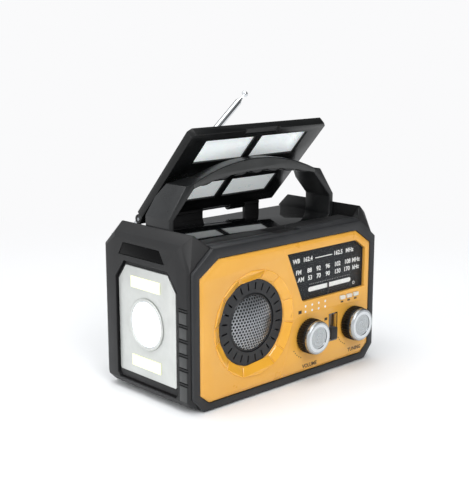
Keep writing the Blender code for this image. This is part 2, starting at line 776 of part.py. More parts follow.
def make_knob(name, centre):
    """A ribbed knob on its shaft, and the bright cap let into its face."""
    x, z = centre
    base = PANEL_FACE - SHAFT_HOLE_CLEARANCE
    rim = base - KNOB_LENGTH
    outline = ribbed_circle(centre, KNOB_RADIUS, KNOB_RIBS, KNOB_RIB_DEPTH)
    knob = slab(name + "_knob", [outline], "Y", rim, base)
    shaft = cylinder(name + "_shaft", "Y", centre, KNOB_SHAFT_RADIUS, base - OVERLAP,
                     base + KNOB_SHAFT_LENGTH, COARSE)
    join(knob, shaft)
    piece(knob, "gloss_black")
    origin_at(knob, (x, base, z))
    lip = KNOB_CAP_THICKNESS
    cap = turned(name + "_knob_cap", [
        (0, 0), (KNOB_CAP_RADIUS, 0), (KNOB_CAP_RADIUS, lip * 0.6), (KNOB_CAP_RADIUS - KNOB_CAP_BEVEL, lip),
        (KNOB_FACE_RADIUS + KNOB_FACE_BEVEL, lip), (KNOB_FACE_RADIUS, lip * 0.7), (0, lip * 0.7),
    ][::-1], facing_front(x, rim - GAP, z), FINE)
    piece(cap, "chrome")
    origin_at(cap, (x, base, z))


def make_controls():
    centres = knob_centres()
    for name, centre in centres.items():
        make_knob(name, centre)
    shaft_end = PANEL_FACE - SHAFT_HOLE_CLEARANCE + KNOB_SHAFT_LENGTH
    front = PANEL_BACK + SEAT_THICKNESS
    back = front + CONTROL_DEPTH
    bore = KNOB_SHAFT_RADIUS + RUNNING_GAP
    pot = cylinder("volume_potentiometer", "Y", centres["volume"], POT_RADIUS, front, back)
    pot_bore = cylinder("pot_bore", "Y", centres["volume"], bore, front - GAP, shaft_end + GAP, COARSE)
    piece(cut(pot, pot_bore), "steel")
    x, z = centres["tuning"]
    half = TUNER_SIDE / 2
    tuner = box("tuning_capacitor", (x - half, front, z - half), (x + half, back, z + half))
    tuner_bore = cylinder("tuner_bore", "Y", (x, z), bore, front - GAP, shaft_end + GAP, COARSE)
    piece(cut(tuner, tuner_bore), "nylon")

    low, high = switch_slot()
    slider_low = (low[0] + GAP, PANEL_FACE - SLIDER_PROUD, low[1] + GAP)
    slider_high = (high[0] - GAP, PANEL_BACK + GAP, low[1] + GAP + SLIDER_LENGTH)
    slider = piece(box("band_switch_slider", slider_low, slider_high), "rubber")
    origin_at(slider, ((low[0] + high[0]) / 2, PANEL_FACE, low[1]))
    margin = SEAT_THICKNESS
    body_front = slider_high[1] + GAP
    switch = box("band_switch_body", (low[0] - margin, body_front, low[1] - margin),
                 (high[0] + margin, body_front + SWITCH_BODY_DEPTH, high[1] + margin))
    piece(switch, "steel")

    for i in range(KEY_COUNT):
        low, high = key_rectangle(i)
        key = box("key_%d" % (i + 1), (low[0] + GAP, PANEL_FACE - KEY_PROUD, low[1] + GAP),
                  (high[0] - GAP, PANEL_BACK + GAP, high[1] - GAP))
        piece(key, "nylon")
        origin_at(key, ((low[0] + high[0]) / 2, PANEL_FACE, KEY_HEIGHT))


# ---- Body

def shell_outline():
    low, high = skirt_outline()[0][1], SHELL_TOP
    chamfer = (BEZEL_BOTTOM_CHAMFER[0] - SHELL_SIDE_INSET,
               BEZEL_BOTTOM_CHAMFER[1] * (1 - SHELL_SIDE_INSET / BEZEL_BOTTOM_CHAMFER[0]))
    left, right = LEFT + SHELL_SIDE_INSET, RIGHT - SHELL_SIDE_INSET
    return [(left + chamfer[0], low), (right - chamfer[0], low), (right, low + chamfer[1]),
            (right, high), (left, high), (left, low + chamfer[1])]


def handle_slot(side):
    """The opening in the deck that a handle leg stands in."""
    outer = side * (BODY_WIDTH / 2 - HANDLE_SIDE_INSET + GAP)
    inner = side * (BODY_WIDTH / 2 - HANDLE_SIDE_INSET - HANDLE_THICKNESS - HANDLE_SLOT_CLEARANCE)
    low = (min(inner, outer), FRONT + HANDLE_SLOT_FRONT, SHELL_TOP - SHELL_WALL - OVERLAP)
    back = FRONT + HANDLE_FRONT + HANDLE_LEG_DEPTH + HANDLE_SLOT_CLEARANCE
    return box("handle_slot", low, (max(inner, outer), back, SHELL_TOP + OVERLAP))


def knuckle(name, inset_from, inset_to, rise_from):
    """A hinge knuckle round the lid's axis, on a block that reaches down to the shell's top."""
    low, high = LEFT + inset_from, LEFT + inset_to
    barrel = cylinder(name, "X", (HINGE_Y, HINGE_Z), KNUCKLE_RADIUS, low, high, COARSE)
    block = box(name + "_block", (low, HINGE_Y - KNUCKLE_RADIUS + OVERLAP, rise_from),
                (high, SHELL_BACK, HINGE_Z + OVERLAP / 2))
    return barrel, block


def port_box(name, margin, low_x, high_x):
    return box(name, (low_x, FRONT + PORT_FRONT + margin, PORT_BOTTOM + margin),
               (high_x, FRONT + PORT_FRONT + PORT_LENGTH - margin, PORT_BOTTOM + PORT_HEIGHT - margin))


def pad_outline():
    """Two long strips under the front and the back, with a bridge between them, seen from above."""
    end = BODY_WIDTH / 2 - PAD_END_INSET
    outer = BODY_DEPTH / 2 - PAD_EDGE_INSET
    inner = outer - PAD_STRIP_WIDTH
    bridge = PAD_BRIDGE_WIDTH / 2
    front_half = [(-bridge, -inner), (-end, -inner), (-end, -outer),
                  (end, -outer), (end, -inner), (bridge, -inner)]
    return front_half + [(-x, -y) for x, y in front_half]


def make_main_shell():
    loops = [shell_outline(), grown(shell_outline(), -SHELL_WALL)]
    shell = slab("main_shell", loops, "Y", SHELL_FRONT, SHELL_BACK)
    rail = box("shell_rail", (LEFT + RAIL_END_INSET, SHELL_FRONT, SHELL_TOP - OVERLAP),
               (RIGHT - RAIL_END_INSET, SHELL_FRONT + RAIL_DEPTH, BAND_TOP))
    join(shell, rail)
    for i, (start, end) in enumerate(SHELL_KNUCKLES):
        barrel, block = knuckle("shell_knuckle_%d" % i, start, end, SHELL_TOP - OVERLAP)
        join(shell, block, barrel)
    pin = cylinder("hinge_bore", "X", (HINGE_Y, HINGE_Z), HINGE_PIN_RADIUS + RUNNING_GAP, LEFT, RIGHT, COARSE)
    cut(shell, pin, latch_notch("shell_notch"), handle_slot(-1), handle_slot(1))
    for side in (-1, 1):
        wall = side * (BODY_WIDTH / 2 - SHELL_SIDE_INSET)
        inside = wall - side * 2 * SHELL_WALL
        ends = sorted((wall + side * SHELL_WALL, inside))
        bore = HANDLE_PIN_RADIUS + RUNNING_GAP
        hole = cylinder("handle_pin_hole", "X", handle_pivot(), bore, *ends, COARSE)
        slot_edge = wall - side * (HANDLE_SIDE_INSET + HANDLE_THICKNESS - SHELL_SIDE_INSET)
        ends = sorted((slot_edge, slot_edge - side * (HANDLE_PIN_HEAD + 3 * GAP)))
        head_room = cylinder("handle_head_room", "X", handle_pivot(), HANDLE_HEAD_RADIUS + GAP, *ends, COARSE)
        cut(shell, hole, head_room)
    lamp_hole = cylinder("lamp_hole", "X", lamp_centre(), LAMP_RIM_RADIUS - GAP, LEFT, LEFT + CUT_REACH)
    ports = port_box("shell_ports", PORT_MARGIN - GAP, RIGHT - CUT_REACH, RIGHT)
    cut(shell, lamp_hole, ports)
    recess = slab("pad_recess", [grown(pad_outline(), GAP)], "Z", -PAD_PROUD, PAD_THICKNESS + GAP)
    cut(shell, recess)
    piece(shell, "body")


def make_base_pad():
    piece(slab("base_pad", [pad_outline()], "Z", 0, PAD_THICKNESS), "rubber")


def make_deck_panel():
    low = (LEFT + DECK_SIDE_INSET, SHELL_FRONT + RAIL_DEPTH + GAP, DECK_BOTTOM)
    high = (RIGHT - DECK_SIDE_INSET, BACK - DECK_BACK_INSET, DECK_BOTTOM + DECK_THICKNESS)
    piece(box("deck_panel", low, high), "gloss_black")


def crank_centre():
    return (RIGHT - CRANK_FROM_RIGHT, CRANK_HEIGHT)


def screw_places():
    low, high = SCREW_INSET, BODY_HEIGHT - SCREW_INSET
    left, right = LEFT + SHELL_SIDE_INSET + SCREW_INSET, RIGHT - SHELL_SIDE_INSET - SCREW_INSET
    return [(left, low), (right, low), (right, high), (left, high)]


def make_rear_cover():
    cover = slab("rear_cover", [shell_outline()], "Y", COVER_FRONT, BACK)
    floor = BACK - DISH_DEPTH
    dish = cylinder("dish", "Y", crank_centre(), DISH_RADIUS + DISH_FLOOR, floor - DISH_FLOOR,
                    COVER_FRONT + OVERLAP, FINE)
    well = cylinder("well", "Y", crank_centre(), DISH_RADIUS, floor, BACK + OVERLAP, FINE)
    bore = cylinder("crank_bore", "Y", crank_centre(), CRANK_SHAFT_RADIUS + RUNNING_GAP, floor - CUT_REACH,
                    BACK, COARSE)
    join(cover, dish)
    cut(cover, well, bore)
    for i, place_xz in enumerate(screw_places()):
        top = BACK + GAP
        hole = cylinder("screw_hole", "Y", place_xz, SCREW_RADIUS + GAP, COVER_FRONT - GAP, top, COARSE)
        seat = BACK - SCREW_HEAD_HEIGHT - GAP
        head = cylinder("head_hole", "Y", place_xz, SCREW_HEAD_RADIUS + GAP, seat, top, COARSE)
        cut(cover, hole, head)
        make_screw(i + 1, place_xz)
    piece(cover, "body")


def make_screw(number, place_xz):
    x, z = place_xz
    head = SCREW_HEAD_HEIGHT
    screw = turned("rear_screw_%d" % number, [
        (0, 0), (SCREW_HEAD_RADIUS, 0), (SCREW_HEAD_RADIUS, -head), (SCREW_RADIUS, -head),
        (SCREW_RADIUS, -SCREW_LENGTH), (0, -SCREW_LENGTH),
    ], facing_back(x, BACK, z), COARSE)
    piece(screw, "steel")


def gear_outline(centre, teeth, module, first_angle):
    """Straight-sided teeth, with the first tooth centred on first_angle."""
    pitch = teeth * module / 2
    outline = []
    for i in range(teeth):
        middle = first_angle + 2 * math.pi * i / teeth
        step = 2 * math.pi / teeth
        for share, radius in ((-0.31, pitch - 1.2 * module), (-0.12, pitch + 0.9 * module),
                              (0.12, pitch + 0.9 * module), (0.31, pitch - 1.2 * module)):
            angle = middle + share * step
            outline.append((centre[0] + radius * math.cos(angle), centre[1] + radius * math.sin(angle)))
    return outline


def make_crank():
    x, z = crank_centre()
    arm_front = BACK - DISH_DEPTH + RUNNING_GAP * 3
    arm_back = arm_front + CRANK_ARM_THICKNESS
    half = CRANK_ARM_WIDTH / 2
    end = (x, z - CRANK_ARM_LENGTH)
    outline = []
    for centre, start in (((x, z), 0), (end, math.pi)):
        for i in range(ARC_STEPS + 1):
            angle = start + math.pi * i / ARC_STEPS
            outline.append((centre[0] + half * math.cos(angle), centre[1] + half * math.sin(angle)))
    arm = slab("crank_arm", [outline], "Y", arm_front, arm_back)
    shaft = cylinder("crank_shaft", "Y", (x, z), CRANK_SHAFT_RADIUS, arm_front - CRANK_SHAFT_LENGTH,
                     arm_front + OVERLAP, COARSE)
    knob_front = arm_back + RUNNING_GAP
    knob_back = knob_front + CRANK_KNOB_LENGTH
    pin = cylinder("crank_pin", "Y", end, CRANK_PIN_RADIUS, arm_back - OVERLAP,
                   knob_back - CRANK_KNOB_WALL - GAP, COARSE)
    join(arm, shaft, pin)
    piece(arm, "body")
    origin_at(arm, (x, arm_front, z))
    shoulder = CRANK_KNOB_LENGTH - CRANK_KNOB_WALL
    bore = CRANK_PIN_RADIUS + RUNNING_GAP
    knob = turned("crank_knob", [
        (0, CRANK_KNOB_LENGTH), (CRANK_KNOB_RADIUS - CRANK_KNOB_WALL, CRANK_KNOB_LENGTH),
        (CRANK_KNOB_RADIUS, shoulder), (CRANK_KNOB_RADIUS, 0), (bore, 0), (bore, shoulder), (0, shoulder),
    ], facing_back(end[0], knob_front, end[1]), MEDIUM)
    piece(knob, "handle")
    origin_at(knob, (end[0], knob_front, end[1]))

    gear_back = BACK - DISH_DEPTH - DISH_FLOOR - GEAR_BEHIND_DISH
    gear_front = gear_back - GEAR_WIDTH
    bore = circle((x, z), CRANK_SHAFT_RADIUS + GAP, COARSE)
    gear = slab("crank_gear", [gear_outline((x, z), GEAR_TEETH, GEAR_MODULE, math.pi), bore], "Y",
                gear_front, gear_back)
    piece(gear, "nylon")
    origin_at(gear, (x, gear_front, z))
    spacing = (GEAR_TEETH + PINION_TEETH) * GEAR_MODULE / 2 + GEAR_BACKLASH
    pinion_centre = (x - spacing, z)
    pinion_tooth = math.pi / PINION_TEETH
    pinion = slab("dynamo_pinion", [gear_outline(pinion_centre, PINION_TEETH, GEAR_MODULE, pinion_tooth)],
                  "Y", gear_front, gear_back)
    dynamo_back = gear_front - DYNAMO_BEHIND_GEAR
    shaft_front = dynamo_back - DYNAMO_SHAFT_SEAT
    shaft = cylinder("pinion_shaft", "Y", pinion_centre, DYNAMO_SHAFT_RADIUS, shaft_front,
                     gear_front + OVERLAP, COARSE)
    join(pinion, shaft)
    piece(pinion, "steel")
    origin_at(pinion, (pinion_centre[0], gear_front, z))
    dynamo = cylinder("dynamo", "Y", pinion_centre, DYNAMO_RADIUS, dynamo_back - DYNAMO_LENGTH, dynamo_back)
    socket = cylinder("dynamo_bore", "Y", pinion_centre, DYNAMO_SHAFT_RADIUS + RUNNING_GAP,
                      shaft_front - GAP, dynamo_back + GAP, COARSE)
    piece(cut(dynamo, socket), "steel")


def make_inner_pieces():
    right = RIGHT - SHELL_SIDE_INSET - SHELL_WALL - BOARD_SIDE_CLEARANCE
    front = FRONT + BOARD_DEPTH
    base = PAD_PROUD + SHELL_WALL + FLOOR_CLEARANCE
    peak = SHELL_TOP - SHELL_WALL - BOARD_TOP_CLEARANCE
    board = box("main_board", (right - BOARD_WIDTH, front, base), (right, front + BOARD_THICKNESS, peak))
    piece(board, "board")
    low = (LEFT + BATTERY_FROM_LEFT, FRONT + BATTERY_DEPTH, base)
    battery = box("battery", low, [a + b for a, b in zip(low, BATTERY_SIZE)])
    piece(battery, "battery")


# ---- End caps and lamp

def cap_point(side, inset, y, z):
    return (side * (BODY_WIDTH / 2 - inset), FRONT + y, z)


def cap_hull(side):
    """The bumper's outer form: face, bevel, sloping top up to the ridge, and the front corner facet."""
    depth = BODY_DEPTH
    top = BODY_HEIGHT
    front = BEZEL_THICKNESS + GAP
    chamfer = BEZEL_TOP_CHAMFER
    base = BEZEL_BOTTOM_CHAMFER
    low = PAD_PROUD
    points = [
        # outer face
        (-CAP_PROUD, 0.0173, top - 0.0007), (-CAP_PROUD, 0.0050, top - 0.0176), (-CAP_PROUD, 0.0050, 0.0090),
        (-CAP_PROUD, depth - 0.0040, 0.0085), (-CAP_PROUD, depth - 0.0035, top - 0.0094),
        (-CAP_PROUD, depth - 0.0150, top - 0.0007),
        # where the bevel round the face meets the body's side
        (0, front, top - chamfer[1]), (0, 0.0120, top + 0.0032), (0, depth - 0.0135, top + 0.0032),
        (0, depth - 0.0003, top - 0.0081), (0, depth - 0.0003, 0.0100), (0, depth - 0.0100, 0.0050),
        (0, 0.0080, 0.0050), (0, front, low + base[1]),
        # ridge
        (RIDGE_INNER - RIDGE_WIDTH, 0.0100, RIDGE_TOP),
        (RIDGE_INNER - RIDGE_WIDTH, depth - 0.0110, RIDGE_TOP),
        (RIDGE_INNER, 0.0100, RIDGE_TOP), (RIDGE_INNER, depth - 0.0110, RIDGE_TOP),
        (RIDGE_INNER, depth - 0.0003, top - 0.0004),
        # corner facet's inner end, and the bottom
        (chamfer[0], front, top), (base[0], front, low), (base[0], depth - 0.0120, low),
        (base[0], depth - 0.0003, 0.0070),
    ]
    return [cap_point(side, *point) for point in points]


def facing_box(name, side, inset_low, inset_high, y, z):
    """A box given by its insets from an end of the body."""
    xs = sorted((side * (BODY_WIDTH / 2 - inset_low), side * (BODY_WIDTH / 2 - inset_high)))
    return box(name, (xs[0], y[0], z[0]), (xs[1], y[1], z[1]))


def make_end_cap(name, side):
    cap = hull(name, cap_hull(side))
    seat = SHELL_SIDE_INSET - GAP
    reach = 0.0400
    skirt_room = slab(name + "_skirt_room", [grown(skirt_outline(), GAP)], "Y", FRONT - GAP, SHELL_FRONT)
    along = (SHELL_FRONT - OVERLAP, BACK + CUT_REACH)
    shell_room = facing_box(name + "_shell_room", side, seat, reach, along, (-CUT_REACH, SHELL_TOP + GAP))
    deck_room = facing_box(name + "_deck_room", side, RIDGE_INNER, reach, along,
                           (SHELL_TOP - CUT_REACH, RIDGE_TOP + CUT_REACH))
    cut(cap, skirt_room, shell_room, deck_room)
    return cap


def lamp_centre():
    return (FRONT + LAMP_CENTRE_Y, LAMP_CENTRE_Z)


def lamp_opening():
    low = (FRONT + LAMP_OPENING_FRONT, LAMP_OPENING_BOTTOM)
    high = (BACK - LAMP_OPENING_BACK, BODY_HEIGHT - LAMP_OPENING_TOP_DROP)
    return chamfered(low, high, LAMP_OPENING_CHAMFER, LAMP_OPENING_FOOT)


def lamp_plate_outline():
    low = (FRONT + LAMP_OPENING_FRONT + LAMP_MARGIN_FRONT, LAMP_OPENING_BOTTOM + LAMP_MARGIN_BOTTOM)
    high = (BACK - LAMP_OPENING_BACK - LAMP_MARGIN_BACK,
            BODY_HEIGHT - LAMP_OPENING_TOP_DROP - LAMP_MARGIN_TOP)
    return chamfered(low, high, LAMP_PLATE_CHAMFER, LAMP_PLATE_FOOT)


def signal_outline(margin):
    top = BODY_HEIGHT - SIGNAL_DROP
    corners = [(SIGNAL_BOTTOM_SPAN[0], top - SIGNAL_HEIGHT), (SIGNAL_BOTTOM_SPAN[1], top - SIGNAL_HEIGHT),
               (SIGNAL_TOP_SPAN[1], top), (SIGNAL_TOP_SPAN[0], top)]
    return grown([(FRONT + depth, z) for depth, z in corners], margin)


def make_left_end():
    cap = make_end_cap("left_end_cap", -1)
    opening = slab("lamp_opening", [lamp_opening()], "X", LEFT - CUT_REACH, LEFT + SHELL_SIDE_INSET)
    signal_floor = LEFT - CAP_PROUD + SIGNAL_DEPTH
    signal_room = slab("signal_room", [signal_outline(GAP)], "X", LEFT - CUT_REACH, signal_floor + GAP)
    cut(cap, opening, signal_room)
    piece(cap, "body")
    window = slab("signal_window", [signal_outline(0)], "X", signal_floor - SIGNAL_DEPTH + GAP, signal_floor)
    piece(window, "gloss_black")

    face = LEFT - CAP_PROUD + LAMP_PLATE_DEPTH
    plate_back = face + LAMP_PLATE_THICKNESS
    centre = lamp_centre()
    hole = LAMP_LENS_RADIUS + GAP
    plate = slab("lamp_plate", [lamp_plate_outline(), circle(centre, hole, FINE)], "X", face, plate_back)
    piece(plate, "silver")
    tray = slab("lamp_tray", [grown(lamp_opening(), -GAP), circle(centre, LAMP_LENS_RADIUS + GAP, FINE)], "X",
                plate_back + GAP, LEFT + SHELL_SIDE_INSET - GAP)
    piece(tray, "rubber")
    rim_face = face - GAP - LAMP_RIM_PROUD
    rim = turned("lamp_rim", [
        (LAMP_RIM_RADIUS, 0), (LAMP_RIM_RADIUS, LAMP_RIM_PROUD * 0.5),
        (LAMP_RIM_RADIUS - LAMP_RIM_BEVEL, LAMP_RIM_PROUD),
        (LAMP_LENS_RADIUS + LAMP_RIM_LAND, LAMP_RIM_PROUD),
        (hole, LAMP_RIM_PROUD * 0.4), (hole, 0),
    ], facing_left(face - GAP, *centre), FINE, ring=True)
    piece(rim, "silver")
    lens = turned("lamp_lens", [
        (0, LAMP_RIM_PROUD), (LAMP_LENS_RADIUS * 0.5, LAMP_RIM_PROUD * 0.75),
        (LAMP_LENS_RADIUS, 0), (LAMP_LENS_RADIUS, rim_face - face - LAMP_PLATE_THICKNESS * 0.6),
        (0, rim_face - face - LAMP_PLATE_THICKNESS * 0.6),
    ], facing_left(face - GAP, *centre), FINE)
    piece(lens, "lens")
    mouth = LAMP_LENS_RADIUS - LAMP_REFLECTOR_WALL
    steps = LAMP_REFLECTOR_STEPS
    profile = []
    for offset, order in ((0, range(steps + 1)), (LAMP_REFLECTOR_WALL, range(steps, -1, -1))):
        for i in order:
            depth = LAMP_REFLECTOR_DEPTH * (1 - (i / steps)) ** 2
            radius = LAMP_LED_RADIUS + (mouth - LAMP_LED_RADIUS) * i / steps
            profile.append((radius + offset, -depth))
    seat = facing_left(plate_back + 2 * GAP, *centre)
    reflector = turned("lamp_reflector", profile, seat, MEDIUM, ring=True)
    piece(reflector, "chrome")
    for name, offset in (("light_strip_upper", STRIP_OFFSET), ("light_strip_lower", -STRIP_OFFSET)):
        low = (face - GAP - STRIP_PROUD, centre[0] - STRIP_LENGTH / 2, centre[1] + offset - STRIP_WIDTH / 2)
        high = (face - GAP, centre[0] + STRIP_LENGTH / 2, centre[1] + offset + STRIP_WIDTH / 2)
        piece(box(name, low, high), "lamp")


def make_right_end():
    cap = make_end_cap("right_end_cap", 1)
    face = RIGHT + CAP_PROUD
    hollow = facing_box("right_hollow", 1, CAP_WALL - CAP_PROUD, SHELL_SIDE_INSET,
                        (FRONT + CAP_HOLLOW_MARGIN, BACK - CAP_HOLLOW_MARGIN),
                        (CAP_HOLLOW_ENDS, BODY_HEIGHT - CAP_HOLLOW_ENDS))
    low = (face - PORT_COVER_RECESS, FRONT + PORT_FRONT, PORT_BOTTOM - PORT_HINGE_RELIEF)
    high = (face + GAP, FRONT + PORT_FRONT + PORT_LENGTH, PORT_BOTTOM + PORT_HEIGHT)
    recess = box("port_recess", low, high)
    window = port_box("port_window", PORT_MARGIN, RIGHT - SHELL_SIDE_INSET, face)
    surround = port_box("port_surround", -SHELL_WALL, RIGHT - SHELL_SIDE_INSET + 2 * GAP,
                        face - CAP_WALL + OVERLAP)
    cut(cap, hollow)
    join(cap, surround)
    cut(cap, recess, window)
    piece(cap, "body")
    cover_outer = face - GAP
    low = (cover_outer - PORT_COVER_THICKNESS, FRONT + PORT_FRONT + GAP, PORT_BOTTOM)
    high = (cover_outer, FRONT + PORT_FRONT + PORT_LENGTH - GAP, PORT_BOTTOM + PORT_HEIGHT - GAP)
    cover = piece(box("port_cover", low, high), "rubber")
    origin_at(cover, (cover_outer, FRONT + PORT_FRONT + PORT_LENGTH / 2, PORT_BOTTOM))
    inner = RIGHT - PORT_BLOCK_INSET
    ports = port_box("port_block", PORT_MARGIN + GAP, inner, face - PORT_COVER_RECESS - GAP)
    middle = FRONT + PORT_FRONT + PORT_LENGTH / 2
    for offset, half in SOCKETS:
        centre = (middle + offset, PORT_BOTTOM + PORT_HEIGHT / 2)
        socket = box("socket", (RIGHT - SHELL_SIDE_INSET, centre[0] - half[0], centre[1] - half[1]),
                     (face, centre[0] + half[0], centre[1] + half[1]))
        cut(ports, socket)
    piece(ports, "steel")


# ---- Lid

def lid_frame_matrix():
    """The lid opens by lifting its front edge about the rear hinge."""
    return Matrix.Translation((0, HINGE_Y, HINGE_Z)) @ Matrix.Rotation(math.radians(-LID_OPEN_DEG), 4, "X")


def on_lid(obj, finish):
    return stood(piece(obj, finish), lid_frame_matrix())


def lid_outline():
    half = LID_HALF_WIDTH
    corner = LID_CORNER
    return [(-half + corner, -LID_LENGTH), (half - corner, -LID_LENGTH), (half, -LID_LENGTH + corner),
            (half, -LID_HEEL), (-half, -LID_HEEL), (-half, -LID_LENGTH + corner)]


def lid_pocket():
    half = LID_HALF_WIDTH - LID_WALL
    return (-half, -LID_LENGTH + LID_WALL), (half, -LID_HEEL - LID_WALL)


def make_lid():
    floor = -LID_BELOW_AXIS + LID_FLOOR
    frame = slab("lid_frame", [lid_outline()], "Z", -LID_BELOW_AXIS, LID_ABOVE_AXIS)
    low, high = lid_pocket()
    pocket = box("lid_pocket", (*low, floor), (*high, LID_ABOVE_AXIS + GAP))
    cut(frame, pocket)
    reach = LID_HALF_WIDTH - WINDOW_SIDE_RAIL
    for near, far in WINDOW_ROWS:
        for side in (-1, 1):
            xs = sorted((side * WINDOW_STRUT / 2, side * reach))
            window = box("lid_window", (xs[0], -far, -LID_BELOW_AXIS - GAP), (xs[1], -near, floor + GAP))
            cut(frame, window)
    latch = box("lid_latch_notch", (-LATCH_WIDTH / 2, -LID_LENGTH - GAP, -LID_BELOW_AXIS - GAP),
                (LATCH_WIDTH / 2, -LID_LENGTH + LATCH_LENGTH, -LID_BELOW_AXIS + LATCH_DEPTH))
    cut(frame, latch)
    for i, (start, end) in enumerate(LID_KNUCKLES):
        barrel = cylinder("lid_knuckle_%d" % i, "X", (0, 0), KNUCKLE_RADIUS, LEFT + start, LEFT + end, COARSE)
        web = box("lid_web_%d" % i, (LEFT + start, -LID_HEEL - OVERLAP, -LID_ABOVE_AXIS),
                  (LEFT + end, 0, LID_ABOVE_AXIS))
        join(frame, web, barrel)
    bore = cylinder("lid_bore", "X", (0, 0), HINGE_PIN_RADIUS + RUNNING_GAP, LEFT, RIGHT, COARSE)
    cut(frame, bore)
    on_lid(frame, "gloss_black")
    low = (low[0] + GAP, low[1] + GAP)
    high = (high[0] - GAP, high[1] - GAP)
    diffuser = box("lid_diffuser", (*low, floor + GAP), (*high, floor + GAP + DIFFUSER_THICKNESS))
    on_lid(diffuser, "diffuser")
    top = LID_ABOVE_AXIS - SOLAR_RECESS
    solar = box("lid_solar_panel", (*low, top - SOLAR_THICKNESS), (*high, top))
    on_lid(solar, "solar")
    ends = (LEFT + LID_KNUCKLES[0][0], LEFT + SHELL_KNUCKLES[1][1])
    pin = cylinder("lid_hinge_pin", "X", (HINGE_Y, HINGE_Z), HINGE_PIN_RADIUS, *ends, COARSE)
    piece(pin, "steel")


# ---- Handle

def handle_pivot():
    return (FRONT + HANDLE_PIVOT_Y, BODY_HEIGHT - HANDLE_PIVOT_DROP)


def arch_height(x):
    return BODY_HEIGHT + HANDLE_TOP_RISE - x * x / (2 * HANDLE_ARCH_RADIUS)


def grip_underside(x, reach):
    """Finger lobes under the arch, which thins towards its ends."""
    share = abs(x) / reach
    height = GRIP_MIDDLE_HEIGHT + (GRIP_END_HEIGHT - GRIP_MIDDLE_HEIGHT) * share ** 2
    return arch_height(x) - height - LOBE_BULGE * abs(math.cos(math.pi * x / LOBE_PITCH)) * (1 - 0.4 * share)


def handle_outline():
    outer = BODY_WIDTH / 2 - HANDLE_SIDE_INSET
    inner = outer - HANDLE_THICKNESS
    shoulder = BODY_WIDTH / 2 - HANDLE_SHOULDER_INSET
    foot = handle_pivot()[1] - HANDLE_LUG_RADIUS
    knee = BODY_HEIGHT + HANDLE_KNEE_RISE
    right_side = [(inner, foot), (outer, foot), (outer, knee), (shoulder, BODY_HEIGHT + HANDLE_SHOULDER_RISE)]
    steps = HANDLE_STEPS
    reach = shoulder - HANDLE_THICKNESS
    top = [(reach * (1 - 2 * i / steps), arch_height(reach * (1 - 2 * i / steps))) for i in range(steps + 1)]
    left_side = [(-x, z) for x, z in reversed(right_side)]
    under_reach = reach - GRIP_END_INSET
    count = LOBE_STEPS
    under = []
    for i in range(count + 1):
        x = under_reach * (2 * i / count - 1)
        under.append((x, grip_underside(x, under_reach)))
    left_inner = (-inner, knee - KNEE_STEP)
    right_inner = (inner, knee - KNEE_STEP)
    return right_side + top + left_side + [left_inner] + under + [right_inner]


def handle_side_outline():
    """The handle seen from the end: a broad leg that narrows to the grip, with a round lug at its foot."""
    y, z = handle_pivot()
    front = FRONT + HANDLE_FRONT
    leg_back = front + HANDLE_LEG_DEPTH
    grip_back = front + HANDLE_GRIP_DEPTH
    shoulder = BODY_HEIGHT + HANDLE_SHOULDER_RISE
    peak = BODY_HEIGHT + HANDLE_TOP_RISE + OVERLAP
    start, end = LUG_ARC_DEG
    lug = []
    for i in range(ARC_STEPS + 1):
        angle = math.radians(start + (end - start) * i / ARC_STEPS)
        lug.append((y + HANDLE_LUG_RADIUS * math.cos(angle), z + HANDLE_LUG_RADIUS * math.sin(angle)))
    return lug + [
        (front + GRIP_START_RISE * 2, z - HANDLE_LUG_RADIUS), (leg_back, SHELL_TOP - SHELL_WALL + OVERLAP),
        (leg_back, shoulder - SHOULDER_DROP), (leg_back - SHOULDER_STEP[0], shoulder + SHOULDER_STEP[1]),
        (grip_back, shoulder + GRIP_START_RISE), (grip_back, peak - GRIP_BEVEL),
        (grip_back - GRIP_BEVEL, peak),
        (front, peak),
    ]


def make_handle():
    thick_low = FRONT + HANDLE_PIVOT_Y - HANDLE_LUG_RADIUS - OVERLAP
    thick_high = FRONT + HANDLE_FRONT + HANDLE_LEG_DEPTH + OVERLAP
    handle = slab("handle", [handle_outline()], "Y", thick_low, thick_high)
    side = slab("handle_side", [handle_side_outline()], "X", LEFT, RIGHT)
    combine(handle, [side], "INTERSECT")
    y, z = handle_pivot()
    bore = cylinder("handle_bore", "X", (y, z), HANDLE_PIN_RADIUS + RUNNING_GAP, LEFT, RIGHT, COARSE)
    cut(handle, bore)
    piece(handle, "handle")
    origin_at(handle, (0, y, z))
    for name, side in (("handle_pin_left", -1), ("handle_pin_right", 1)):
        start = side * (BODY_WIDTH / 2 - SHELL_SIDE_INSET)
        shoulder = side * (BODY_WIDTH / 2 - HANDLE_SIDE_INSET - HANDLE_THICKNESS) - side * RUNNING_GAP * 2
        end = shoulder - side * HANDLE_PIN_HEAD
        shank = sorted((start, shoulder - side * OVERLAP))
        pin = cylinder(name, "X", (y, z), HANDLE_PIN_RADIUS, *shank, COARSE)
        head = cylinder(name + "_head", "X", (y, z), HANDLE_HEAD_RADIUS, *sorted((shoulder, end)), COARSE)
        join(pin, head)
        piece(pin, "steel")


# ---- Antenna

def antenna_pivot():
    return (LEFT + ANTENNA_FROM_LEFT, BACK + ANTENNA_BEHIND, BODY_HEIGHT - ANTENNA_DROP)


def antenna_matrix():
    """Local Z runs up the whip, and local Y points away from the radio's back."""
    return Matrix.Translation(antenna_pivot()) @ Matrix.Rotation(math.radians(ANTENNA_LEAN_DEG), 4, "Y")


def on_antenna(obj, finish):
    return stood(piece(obj, finish), antenna_matrix())


